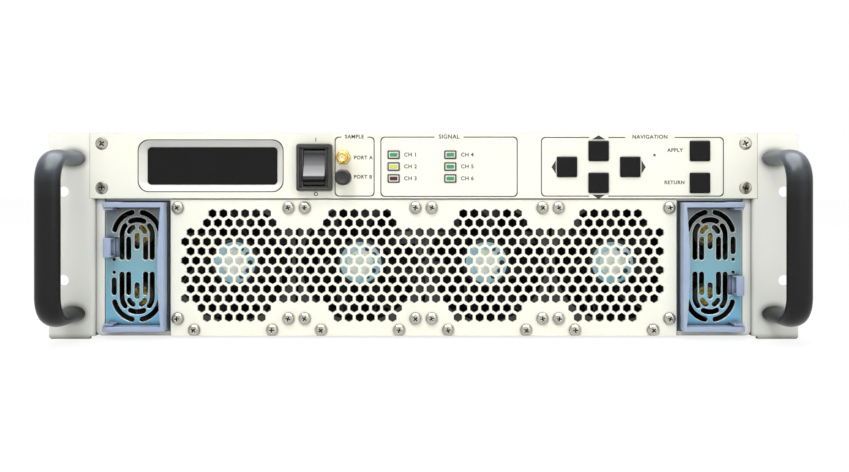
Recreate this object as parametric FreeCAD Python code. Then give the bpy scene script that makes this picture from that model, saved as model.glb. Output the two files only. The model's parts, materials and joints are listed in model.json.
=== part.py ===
import FreeCAD, Part
import math
import os

# Rackmount radio frequency amplifier, three rack units tall, in millimetres.
# +X is to the right seen from the front, +Y to the rear, +Z up.
# The origin is the middle of the four rack slots, on the rear face of the rack ears.

V = FreeCAD.Vector
X_AXIS = V(1, 0, 0)
Y_AXIS = V(0, 1, 0)
Z_AXIS = V(0, 0, 1)

# Rack front
panel_width = 482.6
panel_height = 132.55
panel_thickness = 3.0
overall_depth = 558.8
ear_corner_radius = 2.0
ear_leg_length = 50.0
ear_screw_first = 18.0
ear_screw_pitch = 22.0
ear_screw_rise = 39.0
bend_radius = 3.0
rack_slot_from_edge = 8.75
rack_slot_spacing_z = 57.15
rack_slot_length = 8.0
rack_slot_width = 6.8

# Bow handles
handle_from_edge = 15.5
handle_spacing = 100.0
handle_width = 15.6
handle_section_depth = 9.6
handle_bend_radius = 15.0
handle_reach = 42.0
handle_screw_diameter = 5.0
handle_screw_head = 9.2
handle_screw_head_depth = 2.4
handle_screw_length = 13.0
handle_hole_spare = 1.0

# Sheet metal
sheet = 1.5
tray_bend_radius = 2.5
chassis_below_ears = 1.675
flange_width = 12.0
side_strip_width = 5.6
slide_gap = 0.4
fit_gap = 0.1
running_gap = 0.05
plate_corner = 0.5

# Fans behind the hexagonal plate
fan_size = 80.0
fan_spacing_gap = 2.0
fan_depth = 38.0
fan_wall = 2.0
fan_screw_margin = 8.5
fan_hub = 32.0
fan_blades = 7
fan_above_lip = 0.35
fan_below_panel = 1.85
lip_height = 6.6
fan_plate_overlap = 0.3
panel_seam = 0.7

# Hexagonal holes
hex_flats = 5.2
hex_pitch = 7.05
hex_rows = 12
hex_margin = 9.2
hex_drop = 1.45
bump_narrowing = 2.1
bump_shift = 0.6
outer_bump_columns = 6
inner_bump_columns = 7

# Screws
screw_head_diameter = 7.3
screw_head_height = 2.6
screw_head_round = 1.0
screw_diameter = 4.0
screw_clearance = 0.25
fan_screw_length = 12.0
lower_screw_offset = 25.2
lower_screw_height = 3.8
sunk_head_diameter = 8.0
sunk_head_depth = 2.2
panel_screw_inset = 7.6
panel_screw_rise = 14.3
panel_screw_length = 5.4
cover_head_diameter = 7.0
cover_head_depth = 1.35
cover_screw_length = 3.9
cover_screw_first = 37.0
cover_screw_pitch = 111.0
rear_cover_screw_pitch = 102.0
rear_screw_rise = 38.0
cross_recess_width = 1.0
cross_recess_depth = 1.2
recess_to_head = 0.55

# Display
display_x = -137.2
display_width = 93.6
display_height = 33.6
display_corner = 7.0
window_width = 84.4
window_height = 24.4
window_corner = 2.6
bezel_depth = 5.0
bezel_tab = 3.4
bezel_tab_corner = 1.0
bezel_rim = 0.6
window_seat = 2.0
glass_thickness = 2.0
display_module_depth = 8.6
display_module_height = 31.0
screen_recess = 0.5

# Rocker switch
switch_x = -70.1
switch_drop = 1.2
switch_width = 22.5
switch_height = 30.0
switch_guard = 5.0
switch_guard_corner = 1.5
switch_chamfer = 1.2
switch_lip = 1.0
switch_body_depth = 22.0
switch_cavity_depth = 6.0
rocker_gap = 0.3
rocker_back = 3.0
rocker_width = 13.6
rocker_radius = 11.9
rocker_face_reach = 7.4
rocker_face_dip = 1.8
rocker_face_rise = 0.54
rocker_tilt = 12.0
rocker_pin_radius = 1.5
rocker_pin_reach = 1.2

# Small coaxial jacks and the dust cap
output_jack_x = -51.8
output_jack_rise = 5.4
input_jack_x = -51.3
input_jack_drop = 7.5
jack_thread = 6.35
jack_reach = 8.0
jack_nut_flats = 8.0
jack_nut_height = 2.2
jack_rear = 8.0
jack_bore = 4.6
jack_bore_depth = 4.0
jack_pin = 1.27
jack_pin_recess = 0.6
cap_diameter = 10.6
cap_length = 9.0
cap_end = 1.6
cap_round = 1.2

# Indicator lamps
lamp_left_x = -19.3
lamp_right_x = 17.2
lamp_top_rise = 7.1
lamp_pitch = 7.65
lamp_rows = 3
lamp_width = 7.7
lamp_height = 5.3
lamp_lip = 0.6
lamp_sleeve = 1.0
lamp_corner = 0.3
lamp_air = 0.2
lens_width = 4.9
lens_height = 2.4
lens_proud = 0.3
chip_width = 3.2
chip_height = 1.6
chip_depth = 1.0

# Square keys
key_size = 12.7
key_proud = 1.6
key_gap = 0.2
key_corner = 0.6
key_chamfer = 0.4
key_flange = 1.0
key_flange_thickness = 1.2
key_travel = 0.8
key_stem = 6.0
key_stem_length = 2.7
cross_x = 112.75
cross_drop = 0.75
cross_half_width = 20.4
cross_half_height = 10.3
command_key_inset = 14.0
pinhole_x = 148.8
pinhole_rise = 6.9
pinhole_diameter = 1.6

# Front circuit board
board_thickness = 1.6
board_left_gap = 8.5
board_right_gap = 6.5
board_height = 33.0
switch_button_width = 6.0
plunger_diameter = 3.5
plunger_length = 1.0
switch_notch = 0.5
standoff_diameter = 6.0
middle_standoffs = (-42.0, 66.0)

# Power modules
psu_width = 40.8
psu_height = 83.2
psu_length = 300.0
psu_wall = 0.8
psu_face = 1.2
psu_rise = 0.5
psu_fan_size = 38.0
psu_fan_depth = 28.0
psu_fan_wall = 1.0
psu_fan_screw_margin = 6.0
psu_fan_hub = 17.0
psu_fan_blades = 5
psu_fan_gap = 2.1
psu_fan_start = 6.0
slot_width = 3.5
slot_ring_inner = 5.5
slot_ring_middle = 9.8
slot_ring_outer = 14.9
slot_band = 3.7
outer_arc_start = 12.5
outer_arc_end = 77.0
middle_arc_half = 26.0
side_arc_start = 53.0
inner_arc_start = 29.0
inner_arc_end = 66.0
middle_slot_below = 9.4
middle_slot_above = 1.5
straight_slot_below = 1.0
face_screw_rise = 4.2
face_screw_diameter = 2.4
bail_depth = 9.0
bail_thickness = 3.0
bail_bar_width = 2.0
bail_bow = 2.0
bail_round = 0.8
bail_inset = 0.5
bail_hinge_inset = 4.7
bail_stand_off = 1.0
bail_pin_radius = 1.2
bail_pin_reach = 1.4
lug_half = 3.0
lug_thickness = 1.6
latch_width = 5.0
latch_height = 12.2
latch_rise = 12.2
latch_reach = 8.5
latch_travel = 2.2
latch_inset = 1.2
latch_chamfer = 1.2
latch_flange = 1.6
latch_flange_thickness = 1.5
latch_side_gap = 0.2
latch_slot_corner = 0.5
edge_tongue_length = 8.0
edge_tongue_root = 6.0
edge_tongue_width = 50.0
edge_tongue_thickness = 1.6
receptacle_wall = 2.0
backplane_gap = 1.0

# Proportions shared by the large and the small fans
corner_to_size = 0.04
web_to_depth = 0.08
boss_to_hub = 0.7
boss_start_to_depth = 0.25
shaft_to_hub = 0.14
strut_to_size = 0.04
cup_wall_to_hub = 0.07
cup_end_to_depth = 0.86
blade_reach_to_bore = 0.965
blade_span_to_depth = 0.62
blade_middle_to_depth = 0.46
blade_thickness_to_hub = 0.07
blade_run = 0.7
root_pitch = 48.0
tip_pitch = 26.0
strut_count = 4

# Inside the chassis
heat_sink_start_gap = 22.0
heat_sink_length = 340.0
heat_sink_base = 12.0
heat_sink_margin = 5.3
fin_count = 24
fin_thickness = 1.6
fin_floor_gap = 4.0
heat_sink_top = 0.0
amplifier_width = 66.0
amplifier_length = 130.0
amplifier_height = 22.0
amplifier_pitch = 78.0
combiner_width = 200.0
combiner_length = 80.0
combiner_height = 24.0
isolator_size = 56.0
module_gap = 20.0
module_lid = 2.0
module_lid_inset = 1.0
link_width = 16.0
isolator_link_width = 12.0
link_height = 8.0
line_diameter = 3.6
line_bend = 14.0
line_straight = 45.0
line_rise = 35.0
inlet_line_straight = 80.0
inlet_line_rise = 40.0
control_board_width = 170.0
control_board_length = 100.0
control_board_height = 10.0
control_board_margin = 8.0
standoff_inset = 6.0
chip_columns = 4
board_chip = 18.0
board_chip_height = 3.0
board_chip_pitch = 37.0
board_chip_inset = 24.0
board_chip_rear = 42.0
capacitor_diameter = 10.0
capacitor_height = 14.0
capacitor_rear = 80.0

# Rear panel
vent_slot_width = 4.0
vent_slot_height = 26.0
vent_pitch = 8.0
vent_columns = 22
vent_z = -30.0
rear_jack_flange = 25.4
rear_jack_flange_thickness = 3.0
rear_jack_thread = 15.88
rear_jack_reach = 14.0
rear_jack_body = 8.0
rear_jack_neck_length = 4.0
rear_jack_neck = 9.5
rear_jack_bore = 8.4
rear_jack_bore_depth = 9.0
rear_jack_pin = 3.0
rear_jack_pin_recess = 3.0
rear_jack_x = 90.0
rear_jack_z = 40.0
inlet_x = 176.0
inlet_z = -30.0
inlet_width = 27.2
inlet_height = 20.0
inlet_flange_width = 50.0
inlet_flange_height = 23.0
inlet_flange_thickness = 2.5
inlet_cavity_depth = 15.0
inlet_wall = 1.6
inlet_corner = 1.5
inlet_flange_corner = 3.0
inlet_blades = ((-7.0, -2.0), (0.0, 2.0), (7.0, -2.0))
inlet_blade_width = 2.0
inlet_blade_height = 4.0
inlet_blade_recess = 2.0
port_pitch = 44.0
port_width = 30.8
port_height = 12.5
port_side_margin = 4.0
port_edge_margin = 1.0
port_nose_margin = 7.0
port_nose_edge = 2.0
port_corner = 2.0
port_flange_thickness = 1.0
port_body = 8.0
port_reach = 6.0
port_count = 3

# Places that follow from the sizes above
panel_half = panel_width / 2
top_edge = panel_height / 2
chassis_bottom = -top_edge + chassis_below_ears
chassis_top = -chassis_bottom
floor_top = chassis_bottom + sheet
fan_pitch = fan_size + fan_spacing_gap
fan_bore = fan_size - 2 * fan_wall
fan_screw_spacing = fan_size - fan_screw_margin
fan_z = chassis_bottom + lip_height + fan_above_lip + fan_size / 2
plate_half = 2 * fan_size + 1.5 * fan_spacing_gap + fan_plate_overlap
bay_inner = plate_half + sheet
bay_width = psu_width + 2 * slide_gap
bay_outer = bay_inner + bay_width
chassis_half = bay_outer + side_strip_width
leg_outer = chassis_half + panel_thickness
flange_inner = chassis_half - sheet - flange_width
board_left = -flange_inner + board_left_gap
board_right = flange_inner - board_right_gap
command_keys_x = board_right - command_key_inset
psu_x = bay_inner + bay_width / 2
psu_fan_bore = psu_fan_size - 2 * psu_fan_wall
psu_fan_screw_spacing = psu_fan_size - psu_fan_screw_margin
psu_fan_offset = (psu_fan_size + psu_fan_gap) / 2
psu_bottom = floor_top + sheet + psu_rise
psu_z = psu_bottom + psu_height / 2
cage_top = psu_bottom + psu_height + psu_rise
cage_end = psu_length + edge_tongue_length + receptacle_wall + backplane_gap
hinge_x = -psu_width / 2 + bail_hinge_inset
hinge_y = -bail_stand_off - bail_depth / 2
latch_x = -psu_width / 2 + latch_inset + latch_width / 2
lower_top = max(fan_z + fan_size / 2 + fan_below_panel, cage_top + sheet + fit_gap)
control_z = (lower_top + top_edge) / 2
rear_face = overall_depth - panel_thickness
rear_inner = rear_face - sheet
handle_x = panel_half - handle_from_edge
slot_x = panel_half - rack_slot_from_edge
screw_hole = screw_diameter + 2 * screw_clearance
tapped_hole = screw_diameter + 2 * running_gap
board_front = bezel_depth - panel_thickness + glass_thickness + display_module_depth
fan_centres = [(column - 1.5) * fan_pitch for column in range(4)]
lower_screw_z = chassis_bottom + lower_screw_height
heat_sink_start = fan_depth + heat_sink_start_gap
amplifier_start = heat_sink_start + module_gap
combiner_start = amplifier_start + amplifier_length + module_gap
isolator_start = combiner_start + combiner_length + module_gap
rear_flange_y = rear_inner - flange_width / 2
line_end = rear_inner - rear_jack_body - rear_jack_neck_length
key_places = {
    "key_up": (cross_x, control_z - cross_drop + cross_half_height),
    "key_down": (cross_x, control_z - cross_drop - cross_half_height),
    "key_left": (cross_x - cross_half_width, control_z - cross_drop),
    "key_right": (cross_x + cross_half_width, control_z - cross_drop),
    "key_enter": (command_keys_x, control_z - cross_drop + cross_half_height),
    "key_cancel": (command_keys_x, control_z - cross_drop - cross_half_height),
}
lamp_rows_z = [control_z + lamp_top_rise - row * lamp_pitch for row in range(lamp_rows)]
lamp_places = [(x, z) for x in (lamp_left_x, lamp_right_x) for z in lamp_rows_z]
jack_places = [
    (output_jack_x, control_z + output_jack_rise),
    (input_jack_x, control_z - input_jack_drop),
]
panel_screw_places = [
    (side * (leg_outer - panel_screw_inset), control_z + lift * panel_screw_rise)
    for side in (-1, 1)
    for lift in (-1, 1)
]


# Basic shapes

def box(x0, x1, y0, y1, z0, z1):
    """A block between two corners."""
    return Part.makeBox(x1 - x0, y1 - y0, z1 - z0, V(x0, y0, z0))


def rod(diameter, start, end):
    """A round bar between two points."""
    return Part.makeCylinder(diameter / 2, (end - start).Length, start, end - start)


def closed_line(points):
    """A closed wire through the points."""
    return Part.makePolygon(list(points) + [points[0]])


def prism(points, direction):
    """A flat outline pushed along a direction."""
    return Part.Face(closed_line(points)).extrude(direction)


def rounded_outline(width, height, radius, x, y, z):
    """A rounded rectangle standing in the XZ plane."""
    half_w = width / 2
    half_h = height / 2
    turn = radius * (1 - math.sqrt(0.5))
    edges = []
    for quarter in range(4):
        sx, sz = ((1, 1), (-1, 1), (-1, -1), (1, -1))[quarter]
        side = V(x + sx * half_w, y, z + sz * (half_h - radius))
        middle = V(x + sx * (half_w - turn), y, z + sz * (half_h - turn))
        level = V(x + sx * (half_w - radius), y, z + sz * half_h)
        start, end = (side, level) if sx == sz else (level, side)
        if edges:
            edges.append(Part.LineSegment(last_end, start).toShape())
        else:
            first_start = start
        edges.append(Part.Arc(start, middle, end).toShape())
        last_end = end
    edges.append(Part.LineSegment(last_end, first_start).toShape())
    return Part.Wire(edges)


def slot_outline(length, width, x, y, z, upright):
    """A slot with round ends in the XZ plane, lying level or standing upright."""
    run = V(0, 0, (length - width) / 2) if upright else V((length - width) / 2, 0, 0)
    side = V(width / 2, 0, 0) if upright else V(0, 0, width / 2)
    end = V(0, 0, length / 2) if upright else V(length / 2, 0, 0)
    centre = V(x, y, z)
    return Part.Wire([
        Part.LineSegment(centre - run + side, centre + run + side).toShape(),
        Part.Arc(centre + run + side, centre + end, centre + run - side).toShape(),
        Part.LineSegment(centre + run - side, centre - run - side).toShape(),
        Part.Arc(centre - run - side, centre - end, centre - run + side).toShape(),
    ])


def rounded_block(width, height, radius, x, y0, y1, z):
    """A rounded rectangle in the XZ plane, pushed from y0 to y1."""
    face = Part.Face(rounded_outline(width, height, radius, x, y0, z))
    return face.extrude(V(0, y1 - y0, 0))


def hexagon_outline(flats, x, y, z, turn=90):
    """A hexagon in the XZ plane; a turn of 90 puts a corner at the top."""
    radius = flats / math.sqrt(3)
    angles = [math.radians(turn + 60 * corner) for corner in range(6)]
    return closed_line([V(x + radius * math.cos(a), y, z + radius * math.sin(a)) for a in angles])


def circle_outline(diameter, x, y, z):
    """A circle in the XZ plane."""
    return Part.Wire(Part.makeCircle(diameter / 2, V(x, y, z), Y_AXIS))


def plate_with_holes(outline, holes, y0, y1):
    """A flat plate in the XZ plane with its holes as inner outlines."""
    face = Part.makeFace([outline] + holes, "Part::FaceMakerBullseye")
    face.translate(V(0, y0 - face.BoundBox.YMin, 0))
    return face.extrude(V(0, y1 - y0, 0))


def mirrored(shape):
    """The same shape on the other side of the middle plane."""
    return shape.mirror(V(0, 0, 0), X_AXIS)


def both_sides(shape):
    """A shape and its mirror image."""
    return [shape, mirrored(shape)]


def joined(shapes):
    """One solid from touching or overlapping shapes."""
    return shapes[0].multiFuse(shapes[1:]).removeSplitter()


def aimed(shape, place, direction):
    """A shape built along +Z, turned to a direction and moved to a place."""
    copy = shape.copy()
    copy.Placement = FreeCAD.Placement(place, FreeCAD.Rotation(Z_AXIS, direction))
    return copy


def save(name, shapes):
    """Write one sub-part as a STEP file."""
    pieces = shapes if isinstance(shapes, list) else [shapes]
    solids = [solid for piece in pieces for solid in piece.Solids]
    shape = solids[0] if len(solids) == 1 else Part.makeCompound(solids)
    shape.exportStep(os.path.join("parts", name + ".step"))


# Fasteners, built with the head above z = 0 and the shank below

def cross_recess(size, depth, top):
    """The cross cut into a screw head."""
    half = cross_recess_width / 2
    bar = Part.makeBox(size, cross_recess_width, depth, V(-size / 2, -half, top - depth))
    turned = bar.copy()
    turned.rotate(V(0, 0, 0), Z_AXIS, 90)
    return bar.fuse(turned)


def pan_screw(length):
    """A pan-head screw."""
    head = Part.makeCylinder(screw_head_diameter / 2, screw_head_height)
    rim = [edge for edge in head.Edges if edge.BoundBox.ZMin > screw_head_height / 2]
    head = head.makeFillet(screw_head_round, rim)
    shank = Part.makeCylinder(screw_diameter / 2, length, V(0, 0, -length))
    recess = cross_recess(screw_head_diameter * recess_to_head, cross_recess_depth, screw_head_height)
    return head.fuse(shank).cut(recess)


def sunk_screw(length, head, head_depth, shank):
    """A countersunk screw with its head flush at z = 0."""
    top = Part.makeCone(shank / 2, head / 2, head_depth, V(0, 0, -head_depth))
    body = Part.makeCylinder(shank / 2, length, V(0, 0, -length))
    recess = cross_recess(head * recess_to_head, cross_recess_depth, 0)
    return top.fuse(body).cut(recess)


def sunk_hole(place, direction, head, head_depth, hole, length):
    """The cut for a countersunk screw, entering against the direction."""
    top = Part.makeCone(hole / 2, head / 2 + fit_gap, head_depth + fit_gap, V(0, 0, -head_depth - fit_gap))
    shank = Part.makeCylinder(hole / 2, length, V(0, 0, -length))
    return aimed(top.fuse(shank), place, direction)


# Rack ears and bow handles

def ear():
    """The right ear: a flange with two rack slots and a leg along the chassis side, bent from one sheet."""
    front = -panel_thickness
    turn = bend_radius * (1 - math.sqrt(0.5))
    bend_start = V(chassis_half, front + bend_radius, -top_edge)
    bend_middle = V(chassis_half + turn, front + turn, -top_edge)
    bend_end = V(chassis_half + bend_radius, front, -top_edge)
    corners = [
        bend_end, V(panel_half, front, -top_edge), V(panel_half, 0, -top_edge), V(leg_outer, 0, -top_edge),
        V(leg_outer, ear_leg_length, -top_edge), V(chassis_half, ear_leg_length, -top_edge), bend_start,
    ]
    edges = [Part.LineSegment(one, two).toShape() for one, two in zip(corners, corners[1:])]
    edges.append(Part.Arc(bend_start, bend_middle, bend_end).toShape())
    shape = Part.Face(Part.Wire(edges)).extrude(V(0, 0, 2 * top_edge))
    tips = [
        edge for edge in shape.Edges
        if edge.BoundBox.YLength > panel_thickness / 2 and edge.BoundBox.XMin > leg_outer + 1
    ]
    shape = shape.makeFillet(ear_corner_radius, tips)
    inside = chassis_half - 1
    shape = shape.cut([
        box(inside, leg_outer + fit_gap, front - 1, 0, lower_top - fit_gap, top_edge + 1),
        box(inside, leg_outer, 0, ear_leg_length + 1, chassis_top - sheet, top_edge + 1),
        box(inside, leg_outer, front - 1, ear_leg_length + 1, -top_edge - 1, chassis_bottom),
    ])
    for z in (-rack_slot_spacing_z / 2, rack_slot_spacing_z / 2):
        slot = Part.Face(slot_outline(rack_slot_length, rack_slot_width, slot_x, front - 1, z, False))
        shape = shape.cut(slot.extrude(V(0, panel_thickness + 2, 0)))
    for z in (-handle_spacing / 2, handle_spacing / 2):
        shape = shape.cut(sunk_hole(V(handle_x, 0, z), Y_AXIS, handle_screw_head, handle_screw_head_depth,
                                    handle_screw_diameter + 2 * screw_clearance, handle_screw_length))
    for place in ear_screw_places():
        hole = rod(screw_hole, V(inside, place[0], place[1]), V(leg_outer + 1, place[0], place[1]))
        shape = shape.cut(hole)
    return shape


def ear_screw_places():
    """Depth and height of the screws through each ear leg."""
    depths = (ear_screw_first, ear_screw_first + ear_screw_pitch)
    return [(y, z) for y in depths for z in (-ear_screw_rise, ear_screw_rise)]


def bow_handle():
    """An oval bar bent into a bow, standing on the right ear."""
    half_thickness = handle_section_depth / 2
    grip_y = -panel_thickness - handle_reach + half_thickness
    bend_y = grip_y + handle_bend_radius
    foot_z = handle_spacing / 2
    bend_z = foot_z - handle_bend_radius

    def oval(y):
        outline = Part.Ellipse(
            V(handle_x + handle_width / 2, y, foot_z),
            V(handle_x, y, foot_z + half_thickness),
            V(handle_x, y, foot_z),
        )
        return Part.Face(Part.Wire([outline.toShape()]))

    foot = oval(-panel_thickness).extrude(V(0, bend_y + panel_thickness, 0))
    bend = oval(bend_y).revolve(V(handle_x, bend_y, bend_z), X_AXIS, 90)
    end = oval(bend_y)
    end.rotate(V(handle_x, bend_y, bend_z), X_AXIS, 90)
    half_grip = end.extrude(V(0, 0, -bend_z))
    upper = foot.fuse([bend, half_grip])
    shape = joined([upper, upper.mirror(V(0, 0, 0), Z_AXIS)])
    for z in (-foot_z, foot_z):
        depth = handle_screw_length - panel_thickness + handle_hole_spare
        hole = rod(handle_screw_diameter + 2 * running_gap, V(handle_x, -panel_thickness, z),
                   V(handle_x, -panel_thickness - depth, z))
        shape = shape.cut(hole)
    return shape


def handle_screws():
    """Four countersunk screws from behind the ears into the handle feet."""
    screw = sunk_screw(handle_screw_length, handle_screw_head, handle_screw_head_depth, handle_screw_diameter)
    places = [(x, z) for x in (-handle_x, handle_x) for z in (-handle_spacing / 2, handle_spacing / 2)]
    return [aimed(screw, V(x, -fit_gap, z), Y_AXIS) for x, z in places]


# Chassis shell

def cover_screw_places():
    """Places of the countersunk screws in the top cover."""
    inset = chassis_half - sheet - flange_width / 2
    rows = int((rear_inner - 2 * cover_screw_first) / cover_screw_pitch) + 1
    sides = [(x, cover_screw_first + row * cover_screw_pitch) for x in (-inset, inset) for row in range(rows)]
    rear = [(step * rear_cover_screw_pitch, rear_flange_y) for step in (-1, 0, 1)]
    return sides + rear


def rear_screw_places():
    """Heights of the screws through each chassis side into the rear panel."""
    return [rear_screw_rise, 0, -rear_screw_rise]


def chassis_tray():
    """Floor, two sides, front lips and flanges, bent from one sheet."""
    inner = chassis_half - sheet
    floor = box(-chassis_half, chassis_half, 0, rear_face, chassis_bottom, floor_top)
    middle_lip = box(-plate_half, plate_half, 0, sheet, chassis_bottom, chassis_bottom + lip_height)
    bay_lip = box(-chassis_half, chassis_half, 0, sheet, chassis_bottom, floor_top + sheet)
    shapes = [floor, bay_lip, middle_lip]
    side = box(inner, chassis_half, 0, rear_face, chassis_bottom, chassis_top - sheet)
    strip = box(bay_outer, chassis_half, 0, sheet, chassis_bottom, chassis_top - sheet)
    upper = box(inner - flange_width, chassis_half, 0, sheet, lower_top, chassis_top - sheet)
    top = box(inner - flange_width, chassis_half, 0, rear_face,
              chassis_top - 2 * sheet, chassis_top - sheet)
    for piece in (side, strip, upper, top):
        shapes += both_sides(piece)
    tray = joined(shapes)
    for height, radius in ((chassis_bottom, tray_bend_radius + sheet), (floor_top, tray_bend_radius)):
        bends = [
            edge for edge in tray.Edges
            if edge.BoundBox.YLength > rear_face / 2 and abs(edge.BoundBox.Center.z - height) < fit_gap
        ]
        tray = tray.makeFillet(radius, bends)
    cuts = []
    for x, z in panel_screw_places + lower_screw_places():
        cuts.append(rod(tapped_hole, V(x, -1, z), V(x, 2 * sheet, z)))
    for y, z in ear_screw_places() + [(rear_flange_y, z) for z in rear_screw_places()]:
        cuts += both_sides(rod(tapped_hole, V(inner - 1, y, z), V(chassis_half + 1, y, z)))
    for x, y in cover_screw_places():
        cuts.append(rod(tapped_hole, V(x, y, chassis_top), V(x, y, chassis_top - 3 * sheet)))
    return tray.cut(cuts)


def top_cover():
    """A flat lid on the tray flanges."""
    lid = box(-chassis_half, chassis_half, 0, rear_face, chassis_top - sheet, chassis_top)
    cuts = [
        sunk_hole(V(x, y, chassis_top), Z_AXIS, cover_head_diameter, cover_head_depth, screw_hole, 2 * sheet)
        for x, y in cover_screw_places()
    ]
    return lid.cut(cuts)


def rear_panel():
    """The rear wall with vents, connector holes and flanges to the sides and the lid."""
    half = chassis_half - sheet - fit_gap
    low = floor_top
    high = chassis_top - 2 * sheet
    holes = []
    for column in range(vent_columns):
        x = (column - (vent_columns - 1) / 2) * vent_pitch
        holes.append(slot_outline(vent_slot_height, vent_slot_width, x, rear_inner, vent_z, True))
    for x in (-rear_jack_x, rear_jack_x):
        holes.append(circle_outline(rear_jack_thread + 2 * fit_gap, x, rear_inner, rear_jack_z))
    for x in (-inlet_x, inlet_x):
        holes.append(rounded_outline(inlet_width + 2 * fit_gap, inlet_height + 2 * fit_gap, inlet_corner,
                                     x, rear_inner, inlet_z))
    for x in port_places():
        holes.append(rounded_outline(port_width - 2 * port_side_margin, port_height - 2 * port_edge_margin,
                                     port_corner, x, rear_inner, rear_jack_z))
    outline = rounded_outline(2 * half, high - low, tray_bend_radius, 0, rear_inner, (low + high) / 2)
    wall = plate_with_holes(outline, holes, rear_inner, rear_face)
    flange = box(half - sheet, half, rear_inner - flange_width, rear_inner,
                 low + tray_bend_radius, high - tray_bend_radius)
    shelf_half = rear_cover_screw_pitch + 2 * flange_width
    shelf = box(-shelf_half, shelf_half, rear_inner - flange_width, rear_inner, high, chassis_top - sheet)
    shape = joined([wall] + both_sides(flange) + [shelf])
    cuts = []
    for z in rear_screw_places():
        start = V(half - sheet - 1, rear_flange_y, z)
        cuts += both_sides(rod(tapped_hole, start, start + V(2 + sheet, 0, 0)))
    for x, y in cover_screw_places():
        cuts.append(rod(tapped_hole, V(x, y, chassis_top), V(x, y, chassis_top - 4 * sheet)))
    return shape.cut(cuts)


def port_places():
    """Places of the signal ports along the rear panel."""
    return [(port - (port_count - 1) / 2) * port_pitch for port in range(port_count)]


def chassis_screws():
    """Pan-head screws through the ear legs and the rear ends of the sides."""
    screws = []
    short = pan_screw(panel_thickness + 2 * sheet)
    for y, z in ear_screw_places():
        screws += both_sides(aimed(short, V(leg_outer, y, z), X_AXIS))
    for z in rear_screw_places():
        screws += both_sides(aimed(pan_screw(3 * sheet), V(chassis_half, rear_flange_y, z), X_AXIS))
    return screws


def cover_screws():
    """Countersunk screws in the lid."""
    screw = sunk_screw(cover_screw_length, cover_head_diameter, cover_head_depth, screw_diameter)
    return [aimed(screw, V(x, y, chassis_top - fit_gap), Z_AXIS) for x, y in cover_screw_places()]


# Control panel and what sits in it

def control_panel():
    """The cream plate with openings for every control."""
    half_height = top_edge - lower_top
    outline = rounded_outline(2 * leg_outer, half_height, plate_corner, 0, 0, control_z)
    holes = [
        rounded_outline(display_width, display_height, display_corner, display_x, 0, control_z),
        rounded_outline(switch_width - 2 * switch_lip, switch_height - 2 * switch_lip, switch_lip,
                        switch_x, 0, control_z - switch_drop),
        circle_outline(pinhole_diameter, pinhole_x, 0, control_z + pinhole_rise),
    ]
    for x, z in jack_places:
        holes.append(circle_outline(jack_thread + 2 * fit_gap, x, 0, z))
    for x, z in lamp_places:
        holes.append(rounded_outline(lamp_width - 2 * lamp_lip, lamp_height - 2 * lamp_lip, lamp_corner,
                                     x, 0, z))
    opening = key_size + 2 * key_gap
    for x, z in key_places.values():
        holes.append(rounded_outline(opening, opening, key_corner, x, 0, z))
    plate = plate_with_holes(outline, holes, -panel_thickness, 0)
    cuts = [
        sunk_hole(V(x, -panel_thickness, z), V(0, -1, 0), sunk_head_diameter, sunk_head_depth,
                  screw_hole, 2 * panel_thickness)
        for x, z in panel_screw_places
    ]
    return plate.cut(cuts)


def control_panel_screws():
    """Four countersunk screws at the ends of the control panel."""
    screw = sunk_screw(panel_screw_length, sunk_head_diameter, sunk_head_depth, screw_diameter)
    return [aimed(screw, V(x, -panel_thickness + fit_gap, z), V(0, -1, 0)) for x, z in panel_screw_places]


def display_bezel():
    """A sloping frame from the panel opening down to the window."""
    front = -panel_thickness
    rear = front + bezel_depth
    outer = rounded_block(display_width - 2 * fit_gap, display_height - 2 * fit_gap, display_corner - fit_gap,
                          display_x, front, rear, control_z)
    tabs = rounded_block(display_width + 2 * bezel_tab, display_height - 2 * fit_gap, bezel_tab_corner,
                         display_x, 0, rear, control_z)
    mouth = rounded_outline(display_width - 2 * bezel_rim, display_height - 2 * bezel_rim,
                            display_corner - bezel_rim, display_x, front, control_z)
    throat = rounded_outline(window_width, window_height, window_corner, display_x, rear, control_z)
    recess = Part.makeLoft([mouth, throat], True, True)
    return joined([outer, tabs]).cut(recess)


def display_window():
    """Smoked glass behind the bezel."""
    rear = bezel_depth - panel_thickness
    return rounded_block(window_width + 2 * window_seat, window_height + 2 * window_seat,
                         window_corner + window_seat, display_x, rear, rear + glass_thickness, control_z)


def display_module():
    """The character display between the window and the front board."""
    start = bezel_depth - panel_thickness + glass_thickness
    body = box(display_x - display_width / 2, display_x + display_width / 2, start, board_front,
               control_z - display_module_height / 2, control_z + display_module_height / 2)
    screen = box(display_x - window_width / 2, display_x + window_width / 2, start, start + screen_recess,
                 control_z - window_height / 2, control_z + window_height / 2)
    return body.cut(screen)


def switch_housing():
    """The raised guard and the body behind it."""
    z = control_z - switch_drop
    front = -panel_thickness - switch_guard
    guard = rounded_block(switch_width, switch_height, switch_guard_corner,
                          switch_x, front, -panel_thickness, z)
    rim = [
        edge for edge in guard.Edges
        if abs(edge.BoundBox.YMin - front) < 0.01 and abs(edge.BoundBox.YMax - front) < 0.01
    ]
    guard = guard.makeChamfer(switch_chamfer, rim)
    inset = 2 * (switch_lip + fit_gap)
    body = rounded_block(switch_width - inset, switch_height - inset, switch_lip - fit_gap,
                         switch_x, -panel_thickness, switch_body_depth, z)
    shape = joined([guard, body])
    half_width = rocker_width / 2 + rocker_gap
    half_height = rocker_radius + rocker_gap
    cavity = box(switch_x - half_width, switch_x + half_width, front - 1, switch_cavity_depth,
                 z - half_height, z + half_height)
    pin_half = rocker_width / 2 + rocker_pin_reach + fit_gap
    bore_end = V(switch_x - pin_half, 0, z)
    bore = rod(2 * (rocker_pin_radius + running_gap), bore_end, bore_end + V(2 * pin_half, 0, 0))
    return shape.cut([cavity, bore])


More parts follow.
